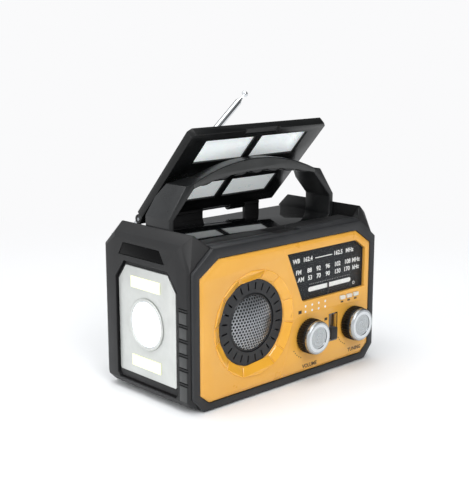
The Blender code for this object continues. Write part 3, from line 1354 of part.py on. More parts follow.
def antenna_section(number, start, end):
    """One tube. Its inner end stays in the tube before it, and the last one is solid with a tip."""
    radius = ANTENNA_RADII[number]
    last = number == len(ANTENNA_RADII) - 1
    name = "antenna_section_%d" % (number + 1)
    if last:
        neck = end - ANTENNA_TIP_LENGTH
        bevel = ANTENNA_TIP_LENGTH * 0.3
        profile = [(0, end), (ANTENNA_TIP_RADIUS - bevel, end), (ANTENNA_TIP_RADIUS, end - bevel),
                   (ANTENNA_TIP_RADIUS, neck), (radius, neck), (radius, start), (0, start)]
        return turned(name, profile, Matrix.Identity(4), COARSE)
    bore = radius - ANTENNA_WALL
    floor = start + ANTENNA_STEP * 0.6
    profile = [(0, floor), (bore, floor), (bore, end), (radius, end), (radius, start), (0, start)]
    return turned(name, profile, Matrix.Identity(4), COARSE)


def make_antenna():
    x, y, z = antenna_pivot()
    mount = cylinder("antenna_mount", "Y", (x, z), ANTENNA_MOUNT_RADIUS, BACK + GAP,
                     BACK + GAP + ANTENNA_MOUNT_THICKNESS, MEDIUM)
    piece(mount, "steel")
    inside = -ANTENNA_BEHIND + 2 * GAP + ANTENNA_MOUNT_THICKNESS
    knuckle_body = cylinder("antenna_knuckle", "Y", (0, 0),
                            FORK_RADIUS, inside, FORK_RADIUS - FORK_BASE, MEDIUM)
    slot = box("fork_slot", (-TONGUE_THICKNESS / 2 - RUNNING_GAP, inside + FORK_BASE, -CUT_REACH),
               (TONGUE_THICKNESS / 2 + RUNNING_GAP, CUT_REACH, CUT_REACH))
    cut(knuckle_body, slot)
    on_antenna(knuckle_body, "chrome")
    tongue_radius = -inside - FORK_BASE - RUNNING_GAP
    start = ANTENNA_TUBE_START
    for number in range(len(ANTENNA_RADII)):
        end = ANTENNA_TUBE_END + number * ANTENNA_STEP
        if number == len(ANTENNA_RADII) - 1:
            end += ANTENNA_TIP_LENGTH + ANTENNA_STEP
        section = antenna_section(number, start + number * ANTENNA_STEP, end)
        if number == 0:
            half = TONGUE_THICKNESS / 2
            depth = tongue_radius * 0.75
            eye = cylinder("antenna_eye", "X", (0, 0), tongue_radius, -half, half, COARSE)
            stem = box("antenna_stem", (-half, -depth, 0), (half, depth, start + OVERLAP))
            join(section, eye, stem)
        on_antenna(section, "chrome")


def build():
    clear_scene()
    make_collection("radio")
    make_collection("helpers")
    make_front_bezel()
    make_front_panel()
    make_speaker()
    make_dial()
    make_controls()
    make_main_shell()
    make_base_pad()
    make_deck_panel()
    make_rear_cover()
    make_crank()
    make_inner_pieces()
    make_left_end()
    make_right_end()
    make_lid()
    make_handle()
    make_antenna()


build()
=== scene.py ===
import json
import math

import bmesh
import bpy
from mathutils import Matrix, Vector

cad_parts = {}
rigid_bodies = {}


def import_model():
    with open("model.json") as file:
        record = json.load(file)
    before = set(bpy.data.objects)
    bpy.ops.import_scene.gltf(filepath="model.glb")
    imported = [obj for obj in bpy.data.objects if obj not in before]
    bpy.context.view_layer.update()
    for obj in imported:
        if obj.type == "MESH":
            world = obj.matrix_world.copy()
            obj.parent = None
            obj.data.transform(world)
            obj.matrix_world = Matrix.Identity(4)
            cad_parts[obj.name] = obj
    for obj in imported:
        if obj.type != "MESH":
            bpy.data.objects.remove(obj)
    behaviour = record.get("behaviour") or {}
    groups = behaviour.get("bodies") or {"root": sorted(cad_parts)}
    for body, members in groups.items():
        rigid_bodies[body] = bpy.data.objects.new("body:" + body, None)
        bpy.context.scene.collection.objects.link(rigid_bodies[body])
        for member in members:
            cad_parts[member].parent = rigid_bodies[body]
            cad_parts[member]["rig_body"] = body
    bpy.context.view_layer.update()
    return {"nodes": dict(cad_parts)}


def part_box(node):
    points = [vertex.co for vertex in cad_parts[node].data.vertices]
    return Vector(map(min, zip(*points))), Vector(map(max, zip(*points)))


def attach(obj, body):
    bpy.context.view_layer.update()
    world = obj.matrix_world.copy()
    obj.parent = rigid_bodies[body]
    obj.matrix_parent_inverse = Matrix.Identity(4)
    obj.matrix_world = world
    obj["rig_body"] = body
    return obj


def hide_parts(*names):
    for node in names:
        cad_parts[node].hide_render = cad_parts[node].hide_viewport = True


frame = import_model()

mm = 0.001
print("radio: frame loaded")


def hexColour(code, alpha=1.0):
    channels = [int(code[i:i + 2], 16) / 255 for i in (1, 3, 5)]
    linear = [c / 12.92 if c <= 0.04045 else ((c + 0.055) / 1.055) ** 2.4 for c in channels]
    return (*linear, alpha)


def addNode(tree, kind, settings=None, inputs=None):
    # an input is a plain value, or an output socket to link from
    node = tree.nodes.new(kind)
    for name, value in (settings or {}).items():
        setattr(node, name, value)
    for key, value in (inputs or {}).items():
        if isinstance(value, bpy.types.NodeSocket):
            tree.links.new(value, node.inputs[key])
        else:
            node.inputs[key].default_value = value
    return node


def perMm(size):
    # texture scale that gives features of this size in millimetres
    return 1 / (size * mm)


def newMaterial(name, look):
    material = bpy.data.materials.new(name)
    material.use_nodes = True
    tree = material.node_tree
    shader = tree.nodes["Principled BSDF"]
    shader.inputs["Base Color"].default_value = hexColour(look["colour"])
    shader.inputs["Roughness"].default_value = look["roughness"]
    for socket, value in look.get("sockets", {}).items():
        shader.inputs[socket].default_value = value
    place = addNode(tree, "ShaderNodeTexCoord").outputs["Object"]
    return material, tree, shader, place


def mouldedFinish(name, **given):
    # colour drift, uneven gloss and a relief grain, each with its size in millimetres
    look = {"glossDrift": 0.04, "reliefShare": 0.2, **given}
    material, tree, shader, place = newMaterial(name, look)
    drift = addNode(tree, "ShaderNodeTexNoise", None, {
        "Vector": place, "Scale": perMm(look["driftMm"]), "Detail": 4.0, "Roughness": 0.6})
    tint = addNode(tree, "ShaderNodeValToRGB", None, {"Fac": drift.outputs["Fac"]})
    tint.color_ramp.elements[0].position = 0.3
    tint.color_ramp.elements[0].color = hexColour(look["shade"])
    tint.color_ramp.elements[1].position = 0.7
    tint.color_ramp.elements[1].color = hexColour(look["colour"])
    tree.links.new(tint.outputs["Color"], shader.inputs["Base Color"])
    grain = addNode(tree, "ShaderNodeTexNoise", None, {
        "Vector": place, "Scale": perMm(look["grainMm"]), "Detail": 2.0})
    gloss = addNode(tree, "ShaderNodeMapRange", None, {
        "Value": drift.outputs["Fac"], "From Min": 0.3, "From Max": 0.7,
        "To Min": look["roughness"] - look["glossDrift"], "To Max": look["roughness"] + look["glossDrift"]})
    tree.links.new(gloss.outputs["Result"], shader.inputs["Roughness"])
    relief = addNode(tree, "ShaderNodeBump", None, {
        "Height": grain.outputs["Fac"], "Strength": look["reliefShare"], "Distance": look["reliefMm"] * mm})
    tree.links.new(relief.outputs["Normal"], shader.inputs["Normal"])
    return material


# ABS moulded against a spark-eroded tool: a fine dull grain that breaks up highlights; the real grain is
# about 0.1 mm and is drawn coarser so that it shows
mouldedAbsBezel = mouldedFinish("mouldedAbsBezel",
    colour="#2A2B2D", shade="#232426", roughness=0.42, glossDrift=0.05,
    driftMm=28, grainMm=0.5, reliefMm=0.05, reliefShare=0.35,
    sockets={"Specular IOR Level": 0.35})
mouldedAbsBody = mouldedFinish("mouldedAbsBody",
    colour="#1D1D1E", shade="#181819", roughness=0.46, glossDrift=0.06,
    driftMm=30, grainMm=0.5, reliefMm=0.06, reliefShare=0.4,
    sockets={"Specular IOR Level": 0.35})
# the caps' pads are the same ABS with a smoother tool, so they look a little lighter and silkier
smoothAbsPad = mouldedFinish("smoothAbsPad",
    colour="#3C3D3D", shade="#343535", roughness=0.40, glossDrift=0.05,
    driftMm=16, grainMm=0.8, reliefMm=0.02, reliefShare=0.3)
# self-coloured yellow ABS with a satin spray coat: warm colour, soft wide highlights, faint orange peel
satinYellowAbs = mouldedFinish("satinYellowAbs",
    colour="#E6AC4A", shade="#E0A23C", roughness=0.30,
    driftMm=45, grainMm=1.6, reliefMm=0.015, reliefShare=0.25,
    sockets={"Coat Weight": 0.15, "Coat Roughness": 0.25})
# the same yellow left bare and polished: deeper, with sharp bright patches
polishedYellowAbs = mouldedFinish("polishedYellowAbs",
    colour="#EDAE38", shade="#E7A62E", roughness=0.18, glossDrift=0.03,
    driftMm=20, grainMm=2.0, reliefMm=0.01,
    sockets={"Coat Weight": 0.6, "Coat Roughness": 0.08})
# polished black ABS straight from a mirror tool: deep black that mirrors what stands round it
pianoBlackAbs = mouldedFinish("pianoBlackAbs",
    colour="#101113", shade="#0C0D0E", roughness=0.10, glossDrift=0.03,
    driftMm=35, grainMm=3.0, reliefMm=0.006, reliefShare=0.15,
    sockets={"Coat Weight": 1.0, "Coat Roughness": 0.04, "Specular IOR Level": 0.9})
# semi-gloss black ABS of the lid's frame: dark with wide grey highlights
glossBlackFrame = mouldedFinish("glossBlackFrame",
    colour="#101112", shade="#0C0D0D", roughness=0.30,
    driftMm=30, grainMm=1.2, reliefMm=0.01,
    sockets={"Specular IOR Level": 0.25, "Coat Weight": 0.08, "Coat Roughness": 0.12})
# glass-filled nylon handle: charcoal, slightly waxy, with faint flow mottling
glassFilledNylon = mouldedFinish("glassFilledNylon",
    colour="#242526", shade="#1D1E1F", roughness=0.32, glossDrift=0.06,
    driftMm=12, grainMm=0.7, reliefMm=0.04, reliefShare=0.35,
    sockets={"Specular IOR Level": 0.4})
# soft-touch over-moulding: almost no highlight and a velvety edge
softTouchRubber = mouldedFinish("softTouchRubber",
    colour="#1D1D1E", shade="#171718", roughness=0.72, glossDrift=0.06,
    driftMm=14, grainMm=0.6, reliefMm=0.05, reliefShare=0.4,
    sockets={"Sheen Weight": 0.15})
# natural nylon of keys and gears: warm off-white, a little translucent
naturalNylon = mouldedFinish("naturalNylon",
    colour="#E4E2D9", shade="#D9D6CA", roughness=0.45, glossDrift=0.05,
    driftMm=8, grainMm=0.6, reliefMm=0.02, reliefShare=0.3,
    sockets={"Subsurface Weight": 0.1, "Subsurface Scale": 0.001})
# fibreglass board under green solder mask: the weave shows as a faint mottling
solderMaskBoard = mouldedFinish("solderMaskBoard",
    colour="#1F6B3C", shade="#195831", roughness=0.35, glossDrift=0.05,
    driftMm=6, grainMm=0.9, reliefMm=0.02, reliefShare=0.4)
# shrink sleeve on the battery: smooth blue film with small wrinkles
shrinkSleeve = mouldedFinish("shrinkSleeve",
    colour="#2F6FB0", shade="#27609A", roughness=0.30, glossDrift=0.05,
    driftMm=20, grainMm=4.0, reliefMm=0.08, reliefShare=0.4)
# silver lacquer on ABS: fine metal flake that turns grey away from the light
silverLacquer = mouldedFinish("silverLacquer",
    colour="#D3D5D2", shade="#C6C8C5", roughness=0.33,
    driftMm=22, grainMm=0.5, reliefMm=0.012, reliefShare=0.3,
    sockets={"Metallic": 0.55})
# pressed steel under a clear coat: bright where the dome faces the light and dark where it turns away
pressedSteel = mouldedFinish("pressedSteel",
    colour="#A9ACAF", shade="#9A9DA1", roughness=0.34, glossDrift=0.05,
    driftMm=10, grainMm=0.6, reliefMm=0.01, reliefShare=0.3,
    sockets={"Metallic": 1.0})
# bright chrome plate: mirror with a faint haze from handling
chromePlate = mouldedFinish("chromePlate",
    colour="#DDE0E2", shade="#D2D5D8", roughness=0.10,
    driftMm=18, grainMm=2.5, reliefMm=0.002,
    sockets={"Metallic": 1.0})
# zinc-plated steel of screws and pins: grey with soft spangle
zincSteel = mouldedFinish("zincSteel",
    colour="#A6A9AC", shade="#93969A", roughness=0.34, glossDrift=0.08,
    driftMm=3, grainMm=0.5, reliefMm=0.01, reliefShare=0.3,
    sockets={"Metallic": 1.0})
# opal acrylic over the lid's lamps: milky white with soft cloudy mottling
opalAcrylic = mouldedFinish("opalAcrylic",
    colour="#F4F7F7", shade="#D9DEDF", roughness=0.30, glossDrift=0.06,
    driftMm=7, grainMm=1.5, reliefMm=0.03, reliefShare=0.3,
    sockets={"Subsurface Weight": 0.2, "Subsurface Scale": 0.004,
                "Emission Color": hexColour("#F2F7F7"), "Emission Strength": 0.35})
# phosphor behind a clear window, lit: even pale yellow glow
litPhosphor = mouldedFinish("litPhosphor",
    colour="#FBFCD8", shade="#F6F7C4", roughness=0.30,
    driftMm=4, grainMm=0.8, reliefMm=0.02, reliefShare=0.3,
    sockets={"Emission Color": hexColour("#FBFFD0"), "Emission Strength": 0.40})
# moulded acrylic lens over the lit lamp: cool white glow under a glossy skin
litLens = mouldedFinish("litLens",
    colour="#F6FAFF", shade="#E6EEF8", roughness=0.12, glossDrift=0.03,
    driftMm=9, grainMm=2.0, reliefMm=0.01,
    sockets={"Emission Color": hexColour("#F3F8FF"), "Emission Strength": 0.85, "Coat Weight": 0.5})
# smoked back of the dial: near-black print with a satin skin
smokedDial = mouldedFinish("smokedDial",
    colour="#232527", shade="#1E2022", roughness=0.42,
    driftMm=30, grainMm=0.8, reliefMm=0.01, sockets={"Specular IOR Level": 0.15})
# smoked acrylic over the signal lamp: dead black until the lamp is lit
smokedAcrylic = mouldedFinish("smokedAcrylic",
    colour="#0A0A0B", shade="#070708", roughness=0.32,
    driftMm=20, grainMm=1.0, reliefMm=0.005, sockets={"Specular IOR Level": 0.06})
# white screen-print ink: flat and slightly uneven
screenInk = mouldedFinish("screenInk",
    colour="#F1F2EF", shade="#E2E3E0", roughness=0.55, glossDrift=0.05,
    driftMm=2, grainMm=0.5, reliefMm=0.01, reliefShare=0.3)
# dark pad-print ink on the yellow panel
darkInk = mouldedFinish("darkInk",
    colour="#3A3024", shade="#30281E", roughness=0.55, glossDrift=0.05,
    driftMm=2, grainMm=0.5, reliefMm=0.01, reliefShare=0.3)
# silicon cells under laminate: blue-black with a purple cast that drifts across each wafer
siliconWafer = mouldedFinish("siliconWafer",
    colour="#14233F", shade="#0B1424", roughness=0.14,
    driftMm=9, grainMm=1.0, reliefMm=0.004,
    sockets={"Coat Weight": 0.8, "Coat Roughness": 0.05})


def clearSheet(name, look):
    # flat clear acrylic: what lies behind shows almost unchanged, under a thin gloss
    material, tree, shader, place = newMaterial(name, look)
    haze = addNode(tree, "ShaderNodeTexNoise", None, {"Vector": place, "Scale": perMm(look["hazeMm"])})
    veil = addNode(tree, "ShaderNodeMapRange", None, {
        "Value": haze.outputs["Fac"], "To Min": look["veil"] * 0.8, "To Max": look["veil"] * 1.2})
    tree.links.new(veil.outputs["Result"], shader.inputs["Alpha"])
    return material


clearAcrylic = clearSheet("clearAcrylic", {
    "colour": "#8F969C", "roughness": 0.05, "hazeMm": 30, "veil": 0.02,
    "sockets": {"Specular IOR Level": 0.2}})


def spunMetal(name, look, centre):
    # fine rings left by the spinning tool, about one point of the part's axis
    material, tree, shader, place = newMaterial(name, look)
    about = addNode(tree, "ShaderNodeMapping", None, {"Vector": place, "Location": [-c for c in centre]})
    rings = addNode(tree, "ShaderNodeTexWave", {"wave_type": "RINGS", "rings_direction": "Y"}, {
        "Vector": about.outputs["Vector"], "Scale": perMm(look["ringMm"]) / 20, "Distortion": 0.6,
        "Detail": 3.0, "Detail Scale": 6.0})
    gloss = addNode(tree, "ShaderNodeMapRange", None, {
        "Value": rings.outputs["Fac"],
        "To Min": look["roughness"] - look["ringShine"], "To Max": look["roughness"] + look["ringHaze"]})
    tree.links.new(gloss.outputs["Result"], shader.inputs["Roughness"])
    relief = addNode(tree, "ShaderNodeBump", None, {
        "Height": rings.outputs["Fac"], "Strength": 0.3, "Distance": look["reliefMm"] * mm})
    tree.links.new(relief.outputs["Normal"], shader.inputs["Normal"])
    return material


print("radio: materials made")


def meshObject(name, mesh, matrix=None):
    obj = bpy.data.objects.new(name, mesh)
    bpy.context.scene.collection.objects.link(obj)
    if matrix:
        mesh.transform(matrix)
    return obj


def fromBmesh(name, bm, matrix=None):
    mesh = bpy.data.meshes.new(name)
    bm.to_mesh(mesh)
    bm.free()
    return meshObject(name, mesh, matrix)


def plain(obj):
    # the evaluated shape becomes the object's own mesh, and its modifiers go
    bpy.context.view_layer.update()
    graph = bpy.context.evaluated_depsgraph_get()
    mesh = bpy.data.meshes.new_from_object(obj.evaluated_get(graph))
    name = obj.name
    bpy.data.objects.remove(obj)
    return meshObject(name, mesh)


def smoothed(obj, degrees=35):
    obj.data.shade_smooth()
    obj.data.set_sharp_from_angle(angle=math.radians(degrees))
    return obj


def bevelled(obj, width, segments=2, degrees=30):
    bevel = obj.modifiers.new("bevel", "BEVEL")
    bevel.width = width
    bevel.segments = segments
    bevel.limit_method = "ANGLE"
    bevel.angle_limit = math.radians(degrees)
    bevel.use_clamp_overlap = False
    return smoothed(plain(obj), 40)


def booleaned(obj, other, operation="DIFFERENCE"):
    modifier = obj.modifiers.new("cut", "BOOLEAN")
    modifier.operation = operation
    modifier.object = other
    obj = plain(obj)
    bpy.data.objects.remove(other)
    return obj


def joined(name, objects):
    # one mesh from several, each keeping its own material
    bm = bmesh.new()
    materials = []
    for obj in objects:
        start = len(bm.faces)
        bm.from_mesh(obj.data)
        bm.faces.ensure_lookup_table()
        for face in bm.faces[start:]:
            slots = obj.data.materials
            material = slots[face.material_index] if slots else None
            if material not in materials:
                materials.append(material)
            face.material_index = materials.index(material)
        bpy.data.objects.remove(obj)
    obj = fromBmesh(name, bm)
    for material in materials:
        obj.data.materials.append(material)
    return obj


def cleanCopy(node, flatten=True):
    # flatten joins flat neighbours into one face; a face with windows in it stays in triangles
    bm = bmesh.new()
    bm.from_mesh(frame["nodes"][node].data)
    bmesh.ops.remove_doubles(bm, verts=bm.verts, dist=0.002 * mm)
    if flatten:
        bmesh.ops.dissolve_limit(bm, angle_limit=math.radians(1), verts=bm.verts, edges=bm.edges)
    return fromBmesh(node + "_shape", bm)


def outlineSlab(name, outline, depth):
    # a flat outline in X and Y, given thickness along Z
    bm = bmesh.new()
    face = bm.faces.new([bm.verts.new((x, y, 0)) for x, y in outline])
    moved = bmesh.ops.extrude_face_region(bm, geom=[face])
    verts = [v for v in moved["geom"] if isinstance(v, bmesh.types.BMVert)]
    bmesh.ops.translate(bm, vec=(0, 0, depth), verts=verts)
    bmesh.ops.recalc_face_normals(bm, faces=bm.faces)
    return fromBmesh(name, bm)


def turnedShape(name, profile, steps=64):
    # a (radius, height) profile turned about Z
    bm = bmesh.new()
    verts = [bm.verts.new((radius, 0, height)) for radius, height in profile]
    edges = [bm.edges.new(pair) for pair in zip(verts, verts[1:])]
    bmesh.ops.spin(bm, geom=verts + edges, cent=(0, 0, 0), axis=(0, 0, 1), angle=2 * math.pi, steps=steps)
    bmesh.ops.remove_doubles(bm, verts=bm.verts, dist=0.001 * mm)
    bmesh.ops.recalc_face_normals(bm, faces=bm.faces)
    return smoothed(fromBmesh(name, bm), 28)


def blockShape(name, low, high):
    bm = bmesh.new()
    bmesh.ops.create_cube(bm, size=1)
    low, high = Vector(low), Vector(high)
    stretch = Matrix.Translation((low + high) / 2) @ Matrix.Diagonal((*(high - low), 1))
    bmesh.ops.transform(bm, matrix=stretch, verts=bm.verts)
    return fromBmesh(name, bm)


def facing(axis, x, y, z):
    # a frame whose Z axis points to the front, the back or the left
    turns = {"front": ("X", 90), "back": ("X", -90), "left": ("Y", -90)}
    letter, degrees = turns[axis]
    return Matrix.Translation((x, y, z)) @ Matrix.Rotation(math.radians(degrees), 4, letter)


def finished(obj, body, material=None, nodes=()):
    if material:
        obj.data.materials.clear()
        obj.data.materials.append(material)
    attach(obj, body)
    if nodes:
        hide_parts(*nodes)


def bodyOf(node):
    return frame["nodes"][node]["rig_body"]


def boxOf(node):
    low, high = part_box(node)
    return low, high, (low + high) / 2


def middleOf(node):
    return boxOf(node)[2]


# geometry node trees

def startTree(name, inputs):
    tree = bpy.data.node_groups.new(name, "GeometryNodeTree")
    for label, kind in inputs.items():
        tree.interface.new_socket(label, in_out="INPUT", socket_type=kind)
    tree.interface.new_socket("Shape", in_out="OUTPUT", socket_type="NodeSocketGeometry")
    return tree, addNode(tree, "NodeGroupInput").outputs


def endTree(tree, shape, material):
    real = addNode(tree, "GeometryNodeRealizeInstances", None, {"Geometry": shape})
    coated = addNode(tree, "GeometryNodeSetMaterial", None, {
        "Geometry": real.outputs["Geometry"], "Material": material})
    addNode(tree, "NodeGroupOutput", None, {"Shape": coated.outputs["Geometry"]})
    return tree


def maths(tree, operation, first, second=0.0):
    return addNode(tree, "ShaderNodeMath", {"operation": operation}, {0: first, 1: second}).outputs[0]


def copiesOn(tree, points, part, more=None):
    source = addNode(tree, "GeometryNodeObjectInfo", None, {"Object": part})
    return addNode(tree, "GeometryNodeInstanceOnPoints", None, {
        "Points": points, "Instance": source.outputs["Geometry"], **(more or {})}).outputs["Instances"]


def buildRingTree():
    # copies of a part round a circle, each turned to face outwards
    tree, given = startTree("ringOfParts", {
        "Part": "NodeSocketObject", "Count": "NodeSocketInt", "Radius": "NodeSocketFloat",
        "Material": "NodeSocketMaterial"})
    circle = addNode(tree, "GeometryNodeMeshCircle", None, {
        "Vertices": given["Count"], "Radius": given["Radius"]})
    index = addNode(tree, "GeometryNodeInputIndex")
    step = maths(tree, "DIVIDE", math.tau, given["Count"])
    angle = maths(tree, "MULTIPLY", index.outputs[0], step)
    turn = addNode(tree, "ShaderNodeCombineXYZ", None, {"Z": angle})
    copies = copiesOn(tree, circle.outputs["Mesh"], given["Part"], {"Rotation": turn.outputs[0]})
    return endTree(tree, copies, given["Material"])


def buildGridTree():
    # copies of a part on a centred grid in X and Y
    tree, given = startTree("gridOfParts", {
        "Part": "NodeSocketObject", "Columns": "NodeSocketInt", "Rows": "NodeSocketInt",
        "Column pitch": "NodeSocketFloat", "Row pitch": "NodeSocketFloat", "Material": "NodeSocketMaterial"})
    spans = []
    for count, pitch in (("Columns", "Column pitch"), ("Rows", "Row pitch")):
        fewer = maths(tree, "SUBTRACT", given[count], 1.0)
        span = maths(tree, "MULTIPLY", fewer, given[pitch])
        spans.append(span)
    grid = addNode(tree, "GeometryNodeMeshGrid", None, {
        "Size X": spans[0], "Size Y": spans[1], "Vertices X": given["Columns"],
        "Vertices Y": given["Rows"]})
    copies = copiesOn(tree, grid.outputs["Mesh"], given["Part"])
    return endTree(tree, copies, given["Material"])


def buildPerforationTree():
    # staggered cells within a circle, welded into one sheet and domed
    tree, given = startTree("perforatedDome", {
        "Part": "NodeSocketObject", "Pitch": "NodeSocketFloat", "Reach": "NodeSocketFloat",
        "Dome radius": "NodeSocketFloat", "Material": "NodeSocketMaterial"})
    rowPitch = maths(tree, "MULTIPLY", given["Pitch"], math.sqrt(0.75))
    count = 23  # enough cells each way to cover the widest grille
    spans = []
    for pitch in (given["Pitch"], rowPitch):
        spans.append(maths(tree, "MULTIPLY", pitch, count - 1.0))
    grid = addNode(tree, "GeometryNodeMeshGrid", None, {
        "Size X": spans[0], "Size Y": spans[1], "Vertices X": count, "Vertices Y": count})
    at = addNode(tree, "GeometryNodeInputPosition")
    parts = addNode(tree, "ShaderNodeSeparateXYZ", None, {0: at.outputs[0]})
    row = maths(tree, "DIVIDE", parts.outputs["Y"], rowPitch)
    whole = maths(tree, "ROUND", row)
    odd = maths(tree, "FLOORED_MODULO", whole, 2.0)
    half = maths(tree, "MULTIPLY", given["Pitch"], 0.5)
    shift = maths(tree, "MULTIPLY", odd, half)
    offset = addNode(tree, "ShaderNodeCombineXYZ", None, {"X": shift})
    staggered = addNode(tree, "GeometryNodeSetPosition", None, {
        "Geometry": grid.outputs["Mesh"], "Offset": offset.outputs[0]})
    place = addNode(tree, "GeometryNodeInputPosition")
    far = addNode(tree, "ShaderNodeVectorMath", {"operation": "LENGTH"}, {0: place.outputs[0]})
    outside = addNode(tree, "FunctionNodeCompare", {"data_type": "FLOAT", "operation": "GREATER_THAN"}, {
        0: far.outputs["Value"], 1: given["Reach"]})
    kept = addNode(tree, "GeometryNodeDeleteGeometry", {"domain": "POINT"}, {
        "Geometry": staggered.outputs["Geometry"], "Selection": outside.outputs[0]})
    copies = copiesOn(tree, kept.outputs["Geometry"], given["Part"])
    real = addNode(tree, "GeometryNodeRealizeInstances", None, {"Geometry": copies})
    welded = addNode(tree, "GeometryNodeMergeByDistance", None, {
        "Geometry": real.outputs["Geometry"], "Distance": 0.02 * mm})
    spot = addNode(tree, "GeometryNodeInputPosition")
    flat = addNode(tree, "ShaderNodeVectorMath", {"operation": "LENGTH"}, {0: spot.outputs[0]})
    flatSquare = maths(tree, "POWER", flat.outputs["Value"], 2.0)
    domeSquare = maths(tree, "POWER", given["Dome radius"], 2.0)
    left = maths(tree, "SUBTRACT", domeSquare, flatSquare)
    rise = maths(tree, "SQRT", left)
    drop = maths(tree, "SUBTRACT", rise, given["Dome radius"])
    lift = addNode(tree, "ShaderNodeCombineXYZ", None, {"Z": drop})
    domed = addNode(tree, "GeometryNodeSetPosition", None, {
        "Geometry": welded.outputs["Geometry"], "Offset": lift.outputs[0]})
    return endTree(tree, domed.outputs["Geometry"], given["Material"])


ringTree = buildRingTree()
gridTree = buildGridTree()
perforationTree = buildPerforationTree()


def grownFrom(name, tree, values, matrix):
    # runs a tree, turns the result into a plain mesh and stands it in place
    carrier = meshObject(name, bpy.data.meshes.new(name))
    modifier = carrier.modifiers.new("tree", "NODES")
    modifier.node_group = tree
    for item in tree.interface.items_tree:
        if item.in_out == "INPUT":
            modifier[item.identifier] = values[item.name]
    obj = plain(carrier)
    if values.get("Part"):
        bpy.data.objects.remove(values["Part"])
    obj.data.transform(matrix)
    return obj


def gridOf(name, part, counts, pitches, material, matrix):
    return grownFrom(name, gridTree, {
        "Part": part, "Columns": counts[0], "Rows": counts[1], "Column pitch": pitches[0],
        "Row pitch": pitches[1], "Material": material}, matrix)


# plain CAD pieces that only need softer edges and a finish

# each row: the width of the edges in mm, the material, the slot and the nodes
dressed = (
    (0.45, mouldedAbsBezel, "bezel", "front_bezel"),
    (0.40, mouldedAbsBody, "body", "main_shell"),
    (0.50, mouldedAbsBody, "body", "rear_cover"),
    (0.40, softTouchRubber, "rubber", "base_pad"),
    (0.40, pianoBlackAbs, "gloss_black", "deck_panel"),
    (0.30, softTouchRubber, "rubber", "band_switch_slider"),
    (0.35, naturalNylon, "nylon", "key_1", "key_2", "key_3"),
    (0.15, softTouchRubber, "rubber", "dial_pointer"),
    (0.20, clearAcrylic, "lens", "dial_window"),
    (0.10, smokedDial, "gloss_black", "dial_scale"),
    (0.30, silverLacquer, "silver", "lamp_plate"),
    (0.15, silverLacquer, "silver", "lamp_rim"),
    (0.30, softTouchRubber, "rubber", "lamp_tray"),
    (0.20, litPhosphor, "lamp", "light_strip_upper", "light_strip_lower"),
    (0.25, smokedAcrylic, "gloss_black", "signal_window"),
    (0.20, opalAcrylic, "diffuser", "lid_diffuser"),
    (0.25, pianoBlackAbs, "solar", "lid_solar_panel"),
    (0.20, zincSteel, "steel", "lid_hinge_pin", "handle_pin_left", "handle_pin_right"),
    (0.15, zincSteel, "steel", "antenna_mount"),
    (0.40, chromePlate, "chrome", "antenna_knuckle"),
    (0.25, chromePlate, "chrome", "antenna_section_1"),
    (0.12, chromePlate, "chrome", "antenna_section_2"),
    (0.10, chromePlate, "chrome", "antenna_section_3"),
    (0.15, chromePlate, "chrome", "antenna_section_4"),
    (0.60, mouldedAbsBody, "body", "crank_arm"),
    (0.40, softTouchRubber, "rubber", "port_cover"),
    (0.20, zincSteel, "steel", "port_block"),
)
# these need only a material: the inside, and a ring whose slots are already sharp
keptAsBuilt = {
    "speaker_ring": mouldedAbsBezel,
    "speaker_driver": zincSteel, "main_board": solderMaskBoard, "battery": shrinkSleeve, "dynamo": zincSteel,
    "volume_potentiometer": zincSteel, "tuning_capacitor": naturalNylon, "band_switch_body": zincSteel,
    "lamp_reflector": chromePlate, "crank_gear": naturalNylon, "dynamo_pinion": zincSteel,
}


def dressPlainPieces():
    for edge, material, slot, *nodes in dressed:
        for node in nodes:
            obj = bevelled(cleanCopy(node), edge * mm)
            obj.name = node + "_finish"
            finished(obj, bodyOf(node), material, [node])
    for node, material in keptAsBuilt.items():
        slots = frame["nodes"][node].data.materials
        slots.clear()
        slots.append(material)


dressPlainPieces()
print("radio: plain pieces finished")


# dial values and lettering, which the panel's captions share

dial = {
    "rows": (
        (96.9, 4.9, (("WB", 7.6), ("162.4", 20.6), ("162.5", 56.5), ("MHz", 70.5))),
        (87.6, 5.1, (("FM", 10.3), ("88", 22.8), ("92", 33.3), ("96", 44.2), ("102", 55.9), ("108", 68.3),
                     ("MHz", 78.8))),
        (81.5, 5.1, (("AM", 13.0), ("53", 23.5), ("70", 33.5), ("90", 44.4), ("130", 56.1), ("170", 67.6),
                     ("kHz", 78.8))),
    ),
    "bar": (23.4, 70.8, 72.1, 3.7), "dash": (29.5, 49.0, 96.6, 0.7), "ring": (76.5, 68.6),
    "ringRadii": (1.3 * mm, 0.9 * mm), "inkProud": 0.12 * mm, "lift": 0.05 * mm,
    "strokeSwell": 0.14 * mm, "strokeDepth": 0.03 * mm,
    "ticks": 24, "tickPitch": 2.05 * mm, "tickCentre": (47.1, 76.2),
}


def printed(text, x, z, size, y):
    curve = bpy.data.curves.new("text", "FONT")
    curve.body = text
    curve.size = size
    curve.extrude = dial["strokeDepth"]
    curve.resolution_u = 3
    curve.offset = dial["strokeSwell"]
    curve.align_x = "CENTER"
    curve.align_y = "CENTER"
    obj = bpy.data.objects.new("text", curve)
    bpy.context.scene.collection.objects.link(obj)
    obj = plain(obj)
    obj.data.transform(facing("front", x, y, z))
    return obj


# front panel: a bevelled border, two creases, a dot grid and small printed marks

